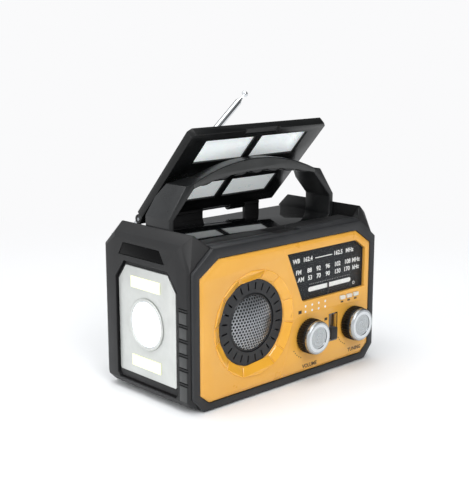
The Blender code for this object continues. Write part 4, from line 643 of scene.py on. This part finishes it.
panel = {
    "borderWidth": 2.6 * mm, "borderDrop": 1.4 * mm, "edge": 0.18 * mm,
    "creaseRadius": 0.55 * mm, "creaseSink": 0.25 * mm,
    "lowerCrease": ((90.5, 51.9), (70, 53.6), (50, 54.2), (30, 54.1), (16, 53.9), (8, 53.4), (3.4, 51.6),
                    (-0.6, 47.6), (-2.4, 42.4), (-3.4, 34), (-4.6, 27), (-9.1, 17), (-12.4, 10.2)),
    "dialCrease": ((-9.6, 109.6), (-7.4, 105), (-5.4, 100), (-2, 84), (0.4, 72), (1.0, 66), (0.6, 60),
                   (-0.4, 55)),
    "dotPitch": (7.7 * mm, 4.5 * mm), "dotGrid": (4, 2), "dotRadius": 1.0 * mm,
    "dotCentre": (26.9 * mm, 58.2 * mm), "inkThickness": 0.06 * mm,
    "captionSize": 4.3 * mm, "tickCount": 5, "tickStart": 213, "tickStep": 8, "tickReach": 18.8 * mm,
    "tickSize": 0.9 * mm, "keyMark": (3.7 * mm, 3.2 * mm, 1.3 * mm),
    "squares": {"switch_mark": (39.6, 45.3, 3.4, 2.2), "pilot_mark": (9.0, 56.7, 3.6, 2.6)},
    "captions": {"volume_knob": (20.9, 11.2), "tuning_knob": (75.8, 12.8)},
}


def makeFrontPanel():
    low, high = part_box("front_panel")
    shape = cleanCopy("front_panel")
    corners = bmesh.new()
    for vert in shape.data.vertices:
        corners.verts.new((vert.co.x, 0, vert.co.z))
    bmesh.ops.convex_hull(corners, input=corners.verts)
    rim = [v.co.copy() for v in corners.verts if v.link_faces]
    corners.free()
    middle = (low + high) / 2
    size = high - low
    shrink = Vector((1 - 2 * panel["borderWidth"] / size.x, 0, 1 - 2 * panel["borderWidth"] / size.z))
    blank = bmesh.new()
    for point in rim:
        inner = middle + Vector(((point.x - middle.x) * shrink.x, 0, (point.z - middle.z) * shrink.z))
        blank.verts.new((inner.x, low.y - 0.01 * mm, inner.z))
        blank.verts.new((point.x, low.y + panel["borderDrop"], point.z))
        blank.verts.new((point.x, high.y + mm, point.z))
    bmesh.ops.convex_hull(blank, input=blank.verts)
    bmesh.ops.recalc_face_normals(blank, faces=blank.faces)
    body = booleaned(shape, fromBmesh("panel_blank", blank), "INTERSECT")
    body = bevelled(body, panel["edge"], 2, 25)
    body.name = "front_panel_finish"
    finished(body, "radio", satinYellowAbs, ["front_panel"])


def softRidge(name, points, y):
    # a low rounded ridge that follows points on the panel's face
    curve = bpy.data.curves.new(name, "CURVE")
    curve.dimensions = "3D"
    curve.bevel_depth = panel["creaseRadius"]
    curve.bevel_resolution = 3
    curve.use_fill_caps = True
    spline = curve.splines.new("NURBS")
    spline.points.add(len(points) - 1)
    for point, (x, z) in zip(spline.points, points):
        point.co = (x * mm, y + panel["creaseRadius"] - panel["creaseSink"], z * mm, 1)
    spline.use_endpoint_u = True
    spline.order_u = 4
    obj = bpy.data.objects.new(name, curve)
    bpy.context.scene.collection.objects.link(obj)
    finished(smoothed(plain(obj)), "radio", satinYellowAbs)


def makePanelCreases():
    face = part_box("front_panel")[0].y
    softRidge("panel_crease_lower", panel["lowerCrease"], face)
    softRidge("panel_crease_dial", panel["dialCrease"], face)


def inkBar(name, x, z, width, height, y):
    thickness = panel["inkThickness"]
    low = (x - width / 2, y - thickness, z - height / 2)
    return blockShape(name, low, (x + width / 2, y, z + height / 2))


def makePanelMarks():
    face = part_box("front_panel")[0].y
    radius = panel["dotRadius"]
    dot = turnedShape("dot", [(0, 0.15 * mm), (radius * 0.7, 0.12 * mm), (radius, 0)], 16)
    x, z = panel["dotCentre"]
    dots = gridOf("panel_dots", dot, panel["dotGrid"], panel["dotPitch"], screenInk,
                  facing("front", x, face, z))
    finished(dots, "radio")
    marks = []
    for knob, (x, z) in panel["captions"].items():
        centre = middleOf(knob)
        for i in range(panel["tickCount"]):
            angle = math.radians(panel["tickStart"] + panel["tickStep"] * i)
            at = centre + panel["tickReach"] * Vector((math.cos(angle), 0, math.sin(angle)))
            marks.append(inkBar("tick", at.x, at.z, panel["tickSize"], panel["tickSize"], face))
        marks.append(printed(knob.split("_")[0].upper(), x * mm, z * mm, panel["captionSize"], face))
    for name, place in panel["squares"].items():
        marks.append(inkBar(name, *(value * mm for value in place), face))
    drop, width, height = panel["keyMark"]
    for number in (1, 2, 3):
        centre = middleOf("key_%d" % number)
        marks.append(inkBar("key_mark", centre.x, centre.z - drop, width, height, face))
    for mark in marks:
        mark.data.materials.clear()
    finished(joined("panel_marks", marks), "radio", darkInk)


switchRim = {"side": 0.5 * mm, "foot": 0.6 * mm, "head": 11.3 * mm, "width": 0.9 * mm,
             "proud": 0.25 * mm, "sunk": 0.3 * mm}


def makeSwitchRim():
    # a black frame round the band switch's slot
    low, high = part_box("band_switch_slider")
    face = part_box("front_panel")[0].y
    wide = switchRim["width"]
    left, right = low.x - switchRim["side"], high.x + switchRim["side"]
    foot, head = low.z - switchRim["foot"], high.z + switchRim["head"]
    bars = []
    for x0, z0, x1, z1 in ((left - wide, foot - wide, left, head + wide),
                           (right, foot - wide, right + wide, head + wide),
                           (left, head, right, head + wide),
                           (left, foot - wide, right, foot)):
        front, back = face - switchRim["proud"], face + switchRim["sunk"]
        bars.append(blockShape("bar", (x0, front, z0), (x1, back, z1)))
    finished(joined("switch_rim", bars), "radio", pianoBlackAbs)


makeFrontPanel()
makePanelCreases()
makePanelMarks()
makeSwitchRim()
print("radio: front panel finished")


# speaker: perforated domed grille in a rolled rim, and a faceted recess

grille = {"pitch": 2.7 * mm, "hole": 0.95 * mm, "rimWidth": 1.7 * mm, "sheet": 0.5 * mm}


def perforatedCell(pitch, hole):
    # one six-sided cell with a round hole in it
    bm = bmesh.new()
    outer, inner = [], []
    for i in range(12):
        angle = math.radians(30 * i)
        reach = pitch / 2 if i % 2 == 0 else pitch / math.sqrt(3)
        outer.append(bm.verts.new((reach * math.cos(angle), reach * math.sin(angle), 0)))
        inner.append(bm.verts.new((hole * math.cos(angle), hole * math.sin(angle), 0)))
    for i in range(12):
        j = (i + 1) % 12
        bm.faces.new((outer[i], outer[j], inner[j], inner[i]))
    return fromBmesh("grille_cell", bm)


def makeGrille():
    low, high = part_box("speaker_grille")
    radius = (high.x - low.x) / 2
    rise = (high.y - low.y) - 1.0 * mm
    dome = (radius ** 2 + rise ** 2) / (2 * rise)
    centre = (low + high) / 2
    apex = facing("front", centre.x, low.y, centre.z)
    cell = perforatedCell(grille["pitch"], grille["hole"])
    sheet = grownFrom("grille_sheet", perforationTree, {
        "Part": cell, "Pitch": grille["pitch"], "Reach": radius - 1.4 * mm, "Dome radius": dome,
        "Material": pressedSteel}, Matrix.Identity(4))
    wall = sheet.modifiers.new("sheet", "SOLIDIFY")
    wall.thickness = grille["sheet"]
    wall.offset = -1
    sheet = plain(sheet)
    sheet.data.transform(apex)
    edge = radius - grille["rimWidth"]

    def onDome(r):
        return math.sqrt(dome ** 2 - r ** 2) - dome
    inner, outer = onDome(edge), onDome(radius)
    rim = turnedShape("grille_rim", [
        (edge, inner - 0.8 * mm), (edge, inner + 0.1 * mm), (edge + 0.5 * mm, inner + 0.35 * mm),
        (radius - 0.3 * mm, outer + 0.4 * mm), (radius, outer), (radius, outer - 0.9 * mm),
        (edge, inner - 0.8 * mm)], 96)
    rim.data.transform(apex)
    rim.data.materials.append(mouldedAbsBezel)
    whole = smoothed(joined("speaker_grille_finish", [sheet, rim]), 30)
    finished(whole, "radio", None, ["speaker_grille"])


def makeSpeakerCloth():
    # black felt behind the holes
    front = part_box("speaker_grille")[0].y
    centre = middleOf("speaker_grille")
    cloth = turnedShape("speaker_felt", [(0, -2.2 * mm), (12 * mm, -3.0 * mm), (21 * mm, -4.6 * mm)], 48)
    cloth.data.transform(facing("front", centre.x, front, centre.z))
    finished(cloth, "radio", softTouchRubber)


recess = {"outer": 41.4 * mm, "inner": 34.4 * mm, "outerDrop": 0.35 * mm, "innerDrop": 3.35 * mm,
          "lift": 0.65 * mm, "slant": 0.8, "clip": 0.7, "edge": 0.15 * mm,
          "facets": ((76, 114), (115, 142), (143, 174), (175, 192), (193, 224), (225, 252), (253, 300),
                     (301, 318), (319, 350), (351, 378), (379, 412), (413, 435))}


def makeRecessFacets():
    # flat-faced plates with clipped ends, seated on the sloping wall round the speaker
    centre = middleOf("speaker_ring")
    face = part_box("front_panel")[0].y
    plates = []
    for start, end in recess["facets"]:
        bm = bmesh.new()
        for level in (0, recess["lift"]):
            clip = recess["clip"] if level else 0
            inset = level * recess["slant"]
            for radius, drop in ((recess["outer"] - inset, recess["outerDrop"]),
                                 (recess["inner"] + inset, recess["innerDrop"])):
                for degrees in (start + clip, (start + end) / 2, end - clip):
                    angle = math.radians(degrees)
                    bm.verts.new((radius * math.cos(angle), radius * math.sin(angle), level - drop))
        bmesh.ops.convex_hull(bm, input=bm.verts)
        bmesh.ops.delete(bm, geom=[v for v in bm.verts if not v.link_faces], context="VERTS")
        bmesh.ops.recalc_face_normals(bm, faces=bm.faces)
        plates.append(fromBmesh("facet", bm))
    facets = bevelled(joined("recess_facets", plates), recess["edge"], 2, 12)
    facets.data.set_sharp_from_angle(angle=math.radians(12))
    facets.data.transform(facing("front", centre.x, face, centre.z))
    finished(facets, "radio", polishedYellowAbs)


makeGrille()
makeSpeakerCloth()
makeRecessFacets()
print("radio: speaker finished")


# knobs: a ribbed gloss skirt and a spun metal cap with a raised ring

knobLook = {
    "ribs": 40, "ribRadius": 0.62 * mm, "coreInset": 0.55 * mm, "ringWidth": 2.6 * mm, "dish": 0.5 * mm,
    "skirtLength": 8.6 * mm,
}


def ribShape(length, radius):
    bm = bmesh.new()
    profile = [math.radians(-90 + 180 * i / 6) for i in range(7)]
    for height, share in ((0, 0.6), (0.6 * mm, 1), (length - 0.6 * mm, 1), (length, 0.5)):
        for angle in profile:
            bm.verts.new((radius * share * math.cos(angle), radius * share * math.sin(angle), height))
    bm.verts.ensure_lookup_table()
    for row in range(3):
        for i in range(6):
            a = row * 7 + i
            bm.faces.new([bm.verts[k] for k in (a, a + 1, a + 8, a + 7)])
    bm.faces.new([bm.verts[21 + i] for i in range(7)])
    return smoothed(fromBmesh("knob_rib", bm), 50)


def makeKnob(name):
    body = bodyOf(name + "_knob")
    capLow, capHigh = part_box(name + "_knob_cap")
    skirtLow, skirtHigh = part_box(name + "_knob")
    axis = (skirtLow + skirtHigh) / 2
    radius = (skirtHigh.x - skirtLow.x) / 2
    base = capHigh.y + knobLook["skirtLength"]
    stand = facing("front", axis.x, base, axis.z)
    length = base - capHigh.y
    core = radius - knobLook["coreInset"]
    skirt = turnedShape(name + "_skirt", [
        (0, 0), (core - 0.6 * mm, 0), (core, 0.6 * mm), (core, length - 1.4 * mm),
        (core - 0.5 * mm, length - 0.5 * mm), (core - 1.2 * mm, length), (0, length)], 80)
    skirt.data.transform(stand)
    skirt.data.materials.append(glossBlackFrame)
    rib = ribShape(length - 1.6 * mm, knobLook["ribRadius"])
    ribs = grownFrom(name + "_ribs", ringTree, {
        "Part": rib, "Count": knobLook["ribs"], "Radius": core - 0.05 * mm, "Material": glossBlackFrame},
        stand @ Matrix.Translation((0, 0, 0.3 * mm)))
    finished(joined(name + "_knob_finish", [skirt, ribs]), body, None, [name + "_knob"])
    height = capHigh.y - capLow.y
    edge = (capHigh.x - capLow.x) / 2
    face = edge - knobLook["ringWidth"]
    dish = knobLook["dish"]
    cap = turnedShape(name + "_cap_finish", [
        (0, 0), (edge, 0), (edge, height * 0.45), (edge - 0.35 * mm, height * 0.78),
        (edge - 0.9 * mm, height * 0.96), (edge - 1.4 * mm, height), (face + 0.5 * mm, height),
        (face, height - 0.35 * mm), (face - 0.6 * mm, height - dish), (face * 0.5, height - dish * 1.3),
        (0, height - dish * 1.5)], 96)
    cap.data.transform(facing("front", axis.x, capHigh.y, axis.z))
    metal = spunMetal(name + "SpunCap", {
        "colour": "#B4B8BA", "roughness": 0.26, "ringMm": 0.45, "reliefMm": 0.02,
        "ringShine": 0.06, "ringHaze": 0.08, "sockets": {"Metallic": 1.0}}, (axis.x, 0, axis.z))
    finished(cap, body, metal, [name + "_knob_cap"])
    ring = turnedShape(name + "_cap_ring", [
        (edge * 0.66, height - 0.3 * mm), (edge * 0.66, height + 0.02 * mm),
        (edge * 0.72, height + 0.08 * mm), (edge * 0.84, height + 0.08 * mm),
        (edge * 0.88, height - 0.3 * mm)], 96)
    ring.data.transform(facing("front", axis.x, capHigh.y, axis.z))
    finished(smoothed(ring), body, chromePlate)


makeKnob("volume")
makeKnob("tuning")
print("radio: knobs finished")


# tuning dial: printed scales, a white guide bar and tick marks on the smoked back plate

def roundBar(x0, x1, z, height, y):
    outline = []
    for centre, start in ((x1, -90), (x0, 90)):
        for i in range(9):
            angle = math.radians(start + 180 * i / 8)
            outline.append((centre + height / 2 * math.cos(angle), z + height / 2 * math.sin(angle)))
    bar = outlineSlab("guide_bar", outline, 0.1 * mm)
    bar.data.transform(facing("front", 0, y + dial["lift"], 0))
    return bar


def makeDialPrint():
    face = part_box("dial_scale")[0].y - dial["inkProud"]
    pieces = []
    for z, size, entries in dial["rows"]:
        for text, x in entries:
            pieces.append(printed(text, x * mm, z * mm, size * mm, face))
    x0, x1, z, height = (value * mm for value in dial["bar"])
    pieces.append(roundBar(x0, x1, z, height, face))
    x0, x1, z, height = (value * mm for value in dial["dash"])
    pieces.append(roundBar(x0, x1, z, height, face))
    wide, narrow = dial["ringRadii"]
    profile = [(wide, 0), (wide, 0.1 * mm), (narrow, 0.1 * mm), (narrow, 0)]
    ring = turnedShape("stereo_ring", profile, 24)
    ring.data.transform(facing("front", dial["ring"][0] * mm, face + dial["lift"], dial["ring"][1] * mm))
    pieces.append(ring)
    for piece in pieces:
        piece.data.materials.clear()
    finished(joined("dial_print", pieces), "radio", screenInk)
    tick = blockShape("tick", (-0.12 * mm, -0.35 * mm, 0), (0.12 * mm, 0.35 * mm, 0.06 * mm))
    x, z = dial["tickCentre"]
    ticks = gridOf("dial_ticks", tick, (dial["ticks"], 1), (dial["tickPitch"], mm), screenInk,
                   facing("front", x * mm, face + dial["lift"], z * mm))
    finished(ticks, "radio")


makeDialPrint()
print("radio: dial printed")


# end caps: pads with pairs of grooves down the front corner

capLook = {
    "grooveHeights": (77.4, 66.0, 54.9, 44.3, 33.5, 22.3), "groovePair": 2.0 * mm, "grooveWidth": 0.7 * mm,
    "grooveDepth": 0.9 * mm, "edge": 0.35 * mm,
    "padFront": -46.0 * mm, "padBack": -38.2 * mm, "padFoot": 9.2 * mm, "padProud": 0.1 * mm,
}


def makeCapPads(name, outer, side):
    heights = capLook["grooveHeights"]
    inset = (capLook["groovePair"] + capLook["grooveWidth"]) / 2 + 0.25 * mm
    spans = [(low * mm + inset, high * mm - inset) for high, low in zip(heights, heights[1:])]
    spans.append((capLook["padFoot"], heights[-1] * mm - inset))
    xs = sorted((outer - side * 0.3 * mm, outer + side * capLook["padProud"]))
    pads = [blockShape("pad", (xs[0], capLook["padFront"], low), (xs[1], capLook["padBack"], high))
            for low, high in spans]
    pads = bevelled(joined(name, pads), 0.08 * mm, 2, 30)
    finished(pads, "radio", smoothAbsPad)


def makeEndCap(node, side):
    low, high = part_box(node)
    outer = low.x if side < 0 else high.x
    shape = cleanCopy(node)
    grooves = []
    for height in capLook["grooveHeights"]:
        for shift in (-1, 1):
            z = height * mm + shift * capLook["groovePair"] / 2
            xs = sorted((outer + side * mm, outer - side * capLook["grooveDepth"]))
            grooves.append(blockShape("groove", (xs[0], low.y - mm, z - capLook["grooveWidth"] / 2),
                                      (xs[1], -37.6 * mm, z + capLook["grooveWidth"] / 2)))
    shape = booleaned(shape, joined("grooves", grooves))
    shape = bevelled(shape, capLook["edge"], 2, 11)
    shape.data.set_sharp_from_angle(angle=math.radians(17))
    shape.name = node + "_finish"
    finished(shape, "radio", mouldedAbsBody, [node])
    makeCapPads(node + "_pads", outer, side)


makeEndCap("left_end_cap", -1)
makeEndCap("right_end_cap", 1)


# lamp lens: a shallow dome with stepped light rings

lampLook = {"rings": 5, "step": 0.12 * mm}


def makeLampLens():
    low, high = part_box("lamp_lens")
    radius = (high.z - low.z) / 2
    centre = (low + high) / 2
    rise = 0.9 * mm
    profile = [(0, 0)]
    steps = lampLook["rings"]
    for i in range(1, steps + 1):
        r = radius * i / steps
        level = -rise * (i / steps) ** 2
        profile += [(r - 0.25 * mm, level + lampLook["step"]), (r, level)]
    profile += [(radius, -rise - 1.0 * mm), (0, -rise - 1.0 * mm)]
    lens = turnedShape("lamp_lens_finish", profile, 96)
    lens.data.transform(facing("left", low.x, centre.y, centre.z))
    finished(lens, "radio", litLens, ["lamp_lens"])


makeLampLens()
print("radio: ends finished")


# lid: softened frame, with cells and fingers on the upper side

lidLook = {
    "openDegrees": 48.0, "length": 99.0 * mm, "heel": 6.0 * mm, "top": 2.6 * mm, "edge": 0.5 * mm,
    "cellStretch": 1.55,
}


def lidPlace():
    pin = middleOf("lid_hinge_pin")
    turn = Matrix.Rotation(math.radians(-lidLook["openDegrees"]), 4, "X")
    return Matrix.Translation((0, pin.y, pin.z)) @ turn


def makeLidFrame():
    shape = cleanCopy("lid_frame", flatten=False)
    shape = bevelled(shape, lidLook["edge"], 2, 30)
    shape.data.set_sharp_from_angle(angle=math.radians(30))
    shape.name = "lid_frame_finish"
    finished(shape, "lid", glossBlackFrame, ["lid_frame"])


def makeSolarCells():
    cell = blockShape("cell", (-12.2 * mm, -24.8 * mm, 0), (12.2 * mm, 24.8 * mm, 0.12 * mm))
    level = lidLook["top"]
    centre = (0, -(lidLook["length"] + lidLook["heel"]) / 2, level)
    stand = lidPlace() @ Matrix.Translation(centre)
    cells = gridOf("solar_cells", cell, (5, 1), (25.4 * mm, mm), siliconWafer,
                   stand @ Matrix.Scale(lidLook["cellStretch"], 4, (0, 1, 0)))
    finished(cells, "lid")
    finger = blockShape("finger", (-63 * mm, -0.08 * mm, 0.12 * mm), (63 * mm, 0.08 * mm, 0.16 * mm))
    fingers = gridOf("solar_fingers", finger, (1, 26), (mm, 2.9 * mm), silverLacquer, stand)
    finished(fingers, "lid")
    bus = blockShape("busbar", (-0.6 * mm, -38.2 * mm, 0.16 * mm), (0.6 * mm, 38.2 * mm, 0.2 * mm))
    buses = gridOf("solar_busbars", bus, (10, 1), (12.7 * mm, mm), silverLacquer, stand)
    finished(buses, "lid")


makeLidFrame()
makeSolarCells()
print("radio: lid finished")


# handle: rounded grip with finger lobes, and a lighter inlay along its front

handleLook = {"edge": 0.9 * mm, "archRadius": 157 * mm, "inlayReach": 66 * mm, "inlayMiddle": 8.6 * mm,
              "inlayEnd": 3.0 * mm, "inlayProud": 0.45 * mm, "front": -13.5 * mm}


def makeHandle():
    shape = cleanCopy("handle")
    shape = bevelled(shape, handleLook["edge"], 3, 30)
    shape.name = "handle_finish"
    finished(shape, "handle", glassFilledNylon, ["handle"])
    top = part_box("handle")[1].z
    reach = handleLook["inlayReach"]
    count = 24
    upper, lower = [], []
    for i in range(count + 1):
        x = reach * (1 - 2 * i / count)
        arch = top - x * x / (2 * handleLook["archRadius"]) - 1.0 * mm
        share = abs(x) / reach
        depth = handleLook["inlayMiddle"] + (handleLook["inlayEnd"] - handleLook["inlayMiddle"]) * share ** 2
        upper.append((x, arch))
        lower.append((x, arch - depth))
    outline = upper[::-1] + lower
    inlay = outlineSlab("grip_inlay", outline, handleLook["inlayProud"] + 0.4 * mm)
    inlay.data.transform(facing("front", 0, handleLook["front"] + 0.4 * mm, 0))
    inlay = bevelled(inlay, 0.3 * mm, 2, 40)
    inlay.name = "grip_inlay"
    finished(inlay, "handle", smoothAbsPad)


makeHandle()
print("radio: handle finished")


# rear: crank knob with finger ribs, screws with cross recesses, ribs on the port cover

def makeCrankKnob():
    low, high, centre = boxOf("crank_knob")
    radius = (high.x - low.x) / 2
    length = high.y - low.y
    core = radius - 0.5 * mm
    stand = facing("back", centre.x, low.y, centre.z)
    knob = turnedShape("crank_knob_core", [
        (2.3 * mm, 0), (core - 0.4 * mm, 0), (core, 0.5 * mm), (core - 0.4 * mm, length * 0.5),
        (core, length - 1.6 * mm), (core - 1.4 * mm, length), (0, length)], 64)
    knob.data.transform(stand)
    knob.data.materials.append(glassFilledNylon)
    rib = ribShape(length - 2.4 * mm, 0.5 * mm)
    ribs = grownFrom("crank_knob_ribs", ringTree, {
        "Part": rib, "Count": 20, "Radius": core - 0.1 * mm, "Material": glassFilledNylon},
        stand @ Matrix.Translation((0, 0, 0.6 * mm)))
    finished(joined("crank_knob_finish", [knob, ribs]), bodyOf("crank_knob"), None, ["crank_knob"])


def makeRearScrews():
    for number in (1, 2, 3, 4):
        node = "rear_screw_%d" % number
        low, high, centre = boxOf(node)
        radius = (high.x - low.x) / 2
        head = turnedShape(node + "_head", [
            (0, -5.5 * mm), (1.5 * mm, -5.5 * mm), (1.5 * mm, -1.2 * mm), (radius, -1.2 * mm),
            (radius, -0.4 * mm), (radius - 0.6 * mm, 0), (0, 0)], 48)
        for turn in (45, 135):
            slotCut = blockShape("slot", (-1.7 * mm, -0.3 * mm, -0.8 * mm), (1.7 * mm, 0.3 * mm, mm))
            slotCut.data.transform(Matrix.Rotation(math.radians(turn), 4, "Z"))
            head = booleaned(head, slotCut)
        head.data.transform(facing("back", centre.x, high.y, centre.z))
        head.name = node + "_finish"
        finished(smoothed(head, 30), "radio", zincSteel, [node])


def makePortRibs():
    low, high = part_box("port_cover")
    rib = blockShape("rib", (-0.35 * mm, -6.0 * mm, -0.1 * mm), (0.35 * mm, 6.0 * mm, 0.3 * mm))
    centre = (low + high) / 2
    quarter = math.radians(90)
    stand = Matrix.Translation((high.x, centre.y, centre.z))
    stand = stand @ Matrix.Rotation(quarter, 4, "Z") @ Matrix.Rotation(quarter, 4, "X")
    ribs = gridOf("port_cover_ribs", rib, (9, 1), (2.2 * mm, mm), softTouchRubber, stand)
    finished(ribs, bodyOf("port_cover"))


makeCrankKnob()
makeRearScrews()
makePortRibs()
print("radio: rear finished")


# floor, light and camera

stageLook = {"floorSize": 60.0, "floorColour": "#F6F7F8", "backdrop": "#FAFAFB", "sky": "#F4F6F8",
             "brightSide": 0.95, "darkSide": 0.12, "fade": (0.14, 0.75)}


def makeStage():
    bm = bmesh.new()
    bmesh.ops.create_grid(bm, x_segments=2, y_segments=2, size=stageLook["floorSize"] / 2)
    floor = fromBmesh("studio_floor", bm)
    look = {"colour": stageLook["floorColour"], "roughness": 0.6}
    material, tree, shader, place = newMaterial("paperFloor", look)
    # far from the object the paper is lit evenly, like the backdrop it runs into
    reach = addNode(tree, "ShaderNodeVectorMath", {"operation": "LENGTH"}, {0: place})
    fade = addNode(tree, "ShaderNodeMapRange", {"interpolation_type": "SMOOTHSTEP"}, {
        "Value": reach.outputs["Value"], "From Min": stageLook["fade"][0], "From Max": stageLook["fade"][1]})
    backdropColour = hexColour(stageLook["backdrop"])
    glow = addNode(tree, "ShaderNodeEmission", None, {"Color": backdropColour, "Strength": 1.0})
    mixed = addNode(tree, "ShaderNodeMixShader", None, {
        0: fade.outputs["Result"], 1: shader.outputs[0], 2: glow.outputs[0]})
    tree.links.new(mixed.outputs[0], tree.nodes["Material Output"].inputs["Surface"])
    floor.data.materials.append(material)
    world = bpy.data.worlds.new("studio")
    world.use_nodes = True
    tree = world.node_tree
    background = tree.nodes["Background"]
    background.inputs["Color"].default_value = hexColour(stageLook["sky"])
    # the studio is bright on the left and dark on the right, with a plain pale backdrop
    direction = addNode(tree, "ShaderNodeTexCoord")
    parts = addNode(tree, "ShaderNodeSeparateXYZ", None, {0: direction.outputs["Generated"]})
    side = addNode(tree, "ShaderNodeMapRange", {"interpolation_type": "SMOOTHSTEP"}, {
        "Value": parts.outputs["X"], "From Min": -0.7, "From Max": 0.8,
        "To Min": stageLook["brightSide"], "To Max": stageLook["darkSide"]})
    tree.links.new(side.outputs["Result"], background.inputs["Strength"])
    backdrop = addNode(tree, "ShaderNodeBackground", None, {"Color": backdropColour, "Strength": 1.0})
    seen = addNode(tree, "ShaderNodeLightPath")
    both = addNode(tree, "ShaderNodeMixShader", None, {
        0: seen.outputs["Is Camera Ray"], 1: background.outputs[0], 2: backdrop.outputs[0]})
    tree.links.new(both.outputs[0], tree.nodes["World Output"].inputs["Surface"])
    bpy.context.scene.world = world
    bpy.context.scene.view_settings.view_transform = "Standard"


def addLight(name, place, power, size, target=(0, 0, 0.09)):
    light = bpy.data.lights.new(name, "AREA")
    light.energy = power
    light.size = size
    obj = bpy.data.objects.new(name, light)
    bpy.context.scene.collection.objects.link(obj)
    obj.location = place
    obj.rotation_euler = (Vector(target) - Vector(place)).to_track_quat("-Z", "Y").to_euler()


def makeCamera():
    camera = bpy.data.cameras.new("camera")
    camera.lens = 70.87
    camera.sensor_width = 36.0
    camera.sensor_fit = "AUTO"
    camera.clip_start = 0.01
    obj = bpy.data.objects.new("camera", camera)
    bpy.context.scene.collection.objects.link(obj)
    obj.location = (-0.5345, -0.5559, 0.2691)
    azimuth, pitch = math.radians(43.23), math.radians(12.40)
    level = math.cos(pitch)
    look = Vector((math.sin(azimuth) * level, math.cos(azimuth) * level, -math.sin(pitch)))
    obj.rotation_euler = look.to_track_quat("-Z", "Y").to_euler()
    bpy.context.scene.camera = obj


makeStage()
addLight("key", (-0.35, -1.00, 0.95), 7.5, 0.6)
addLight("side", (-1.20, 0.15, 0.55), 3.0, 0.7)
addLight("top", (0.0, 0.4, 2.6), 45.0, 2.6)
makeCamera()
print("radio: stage ready")
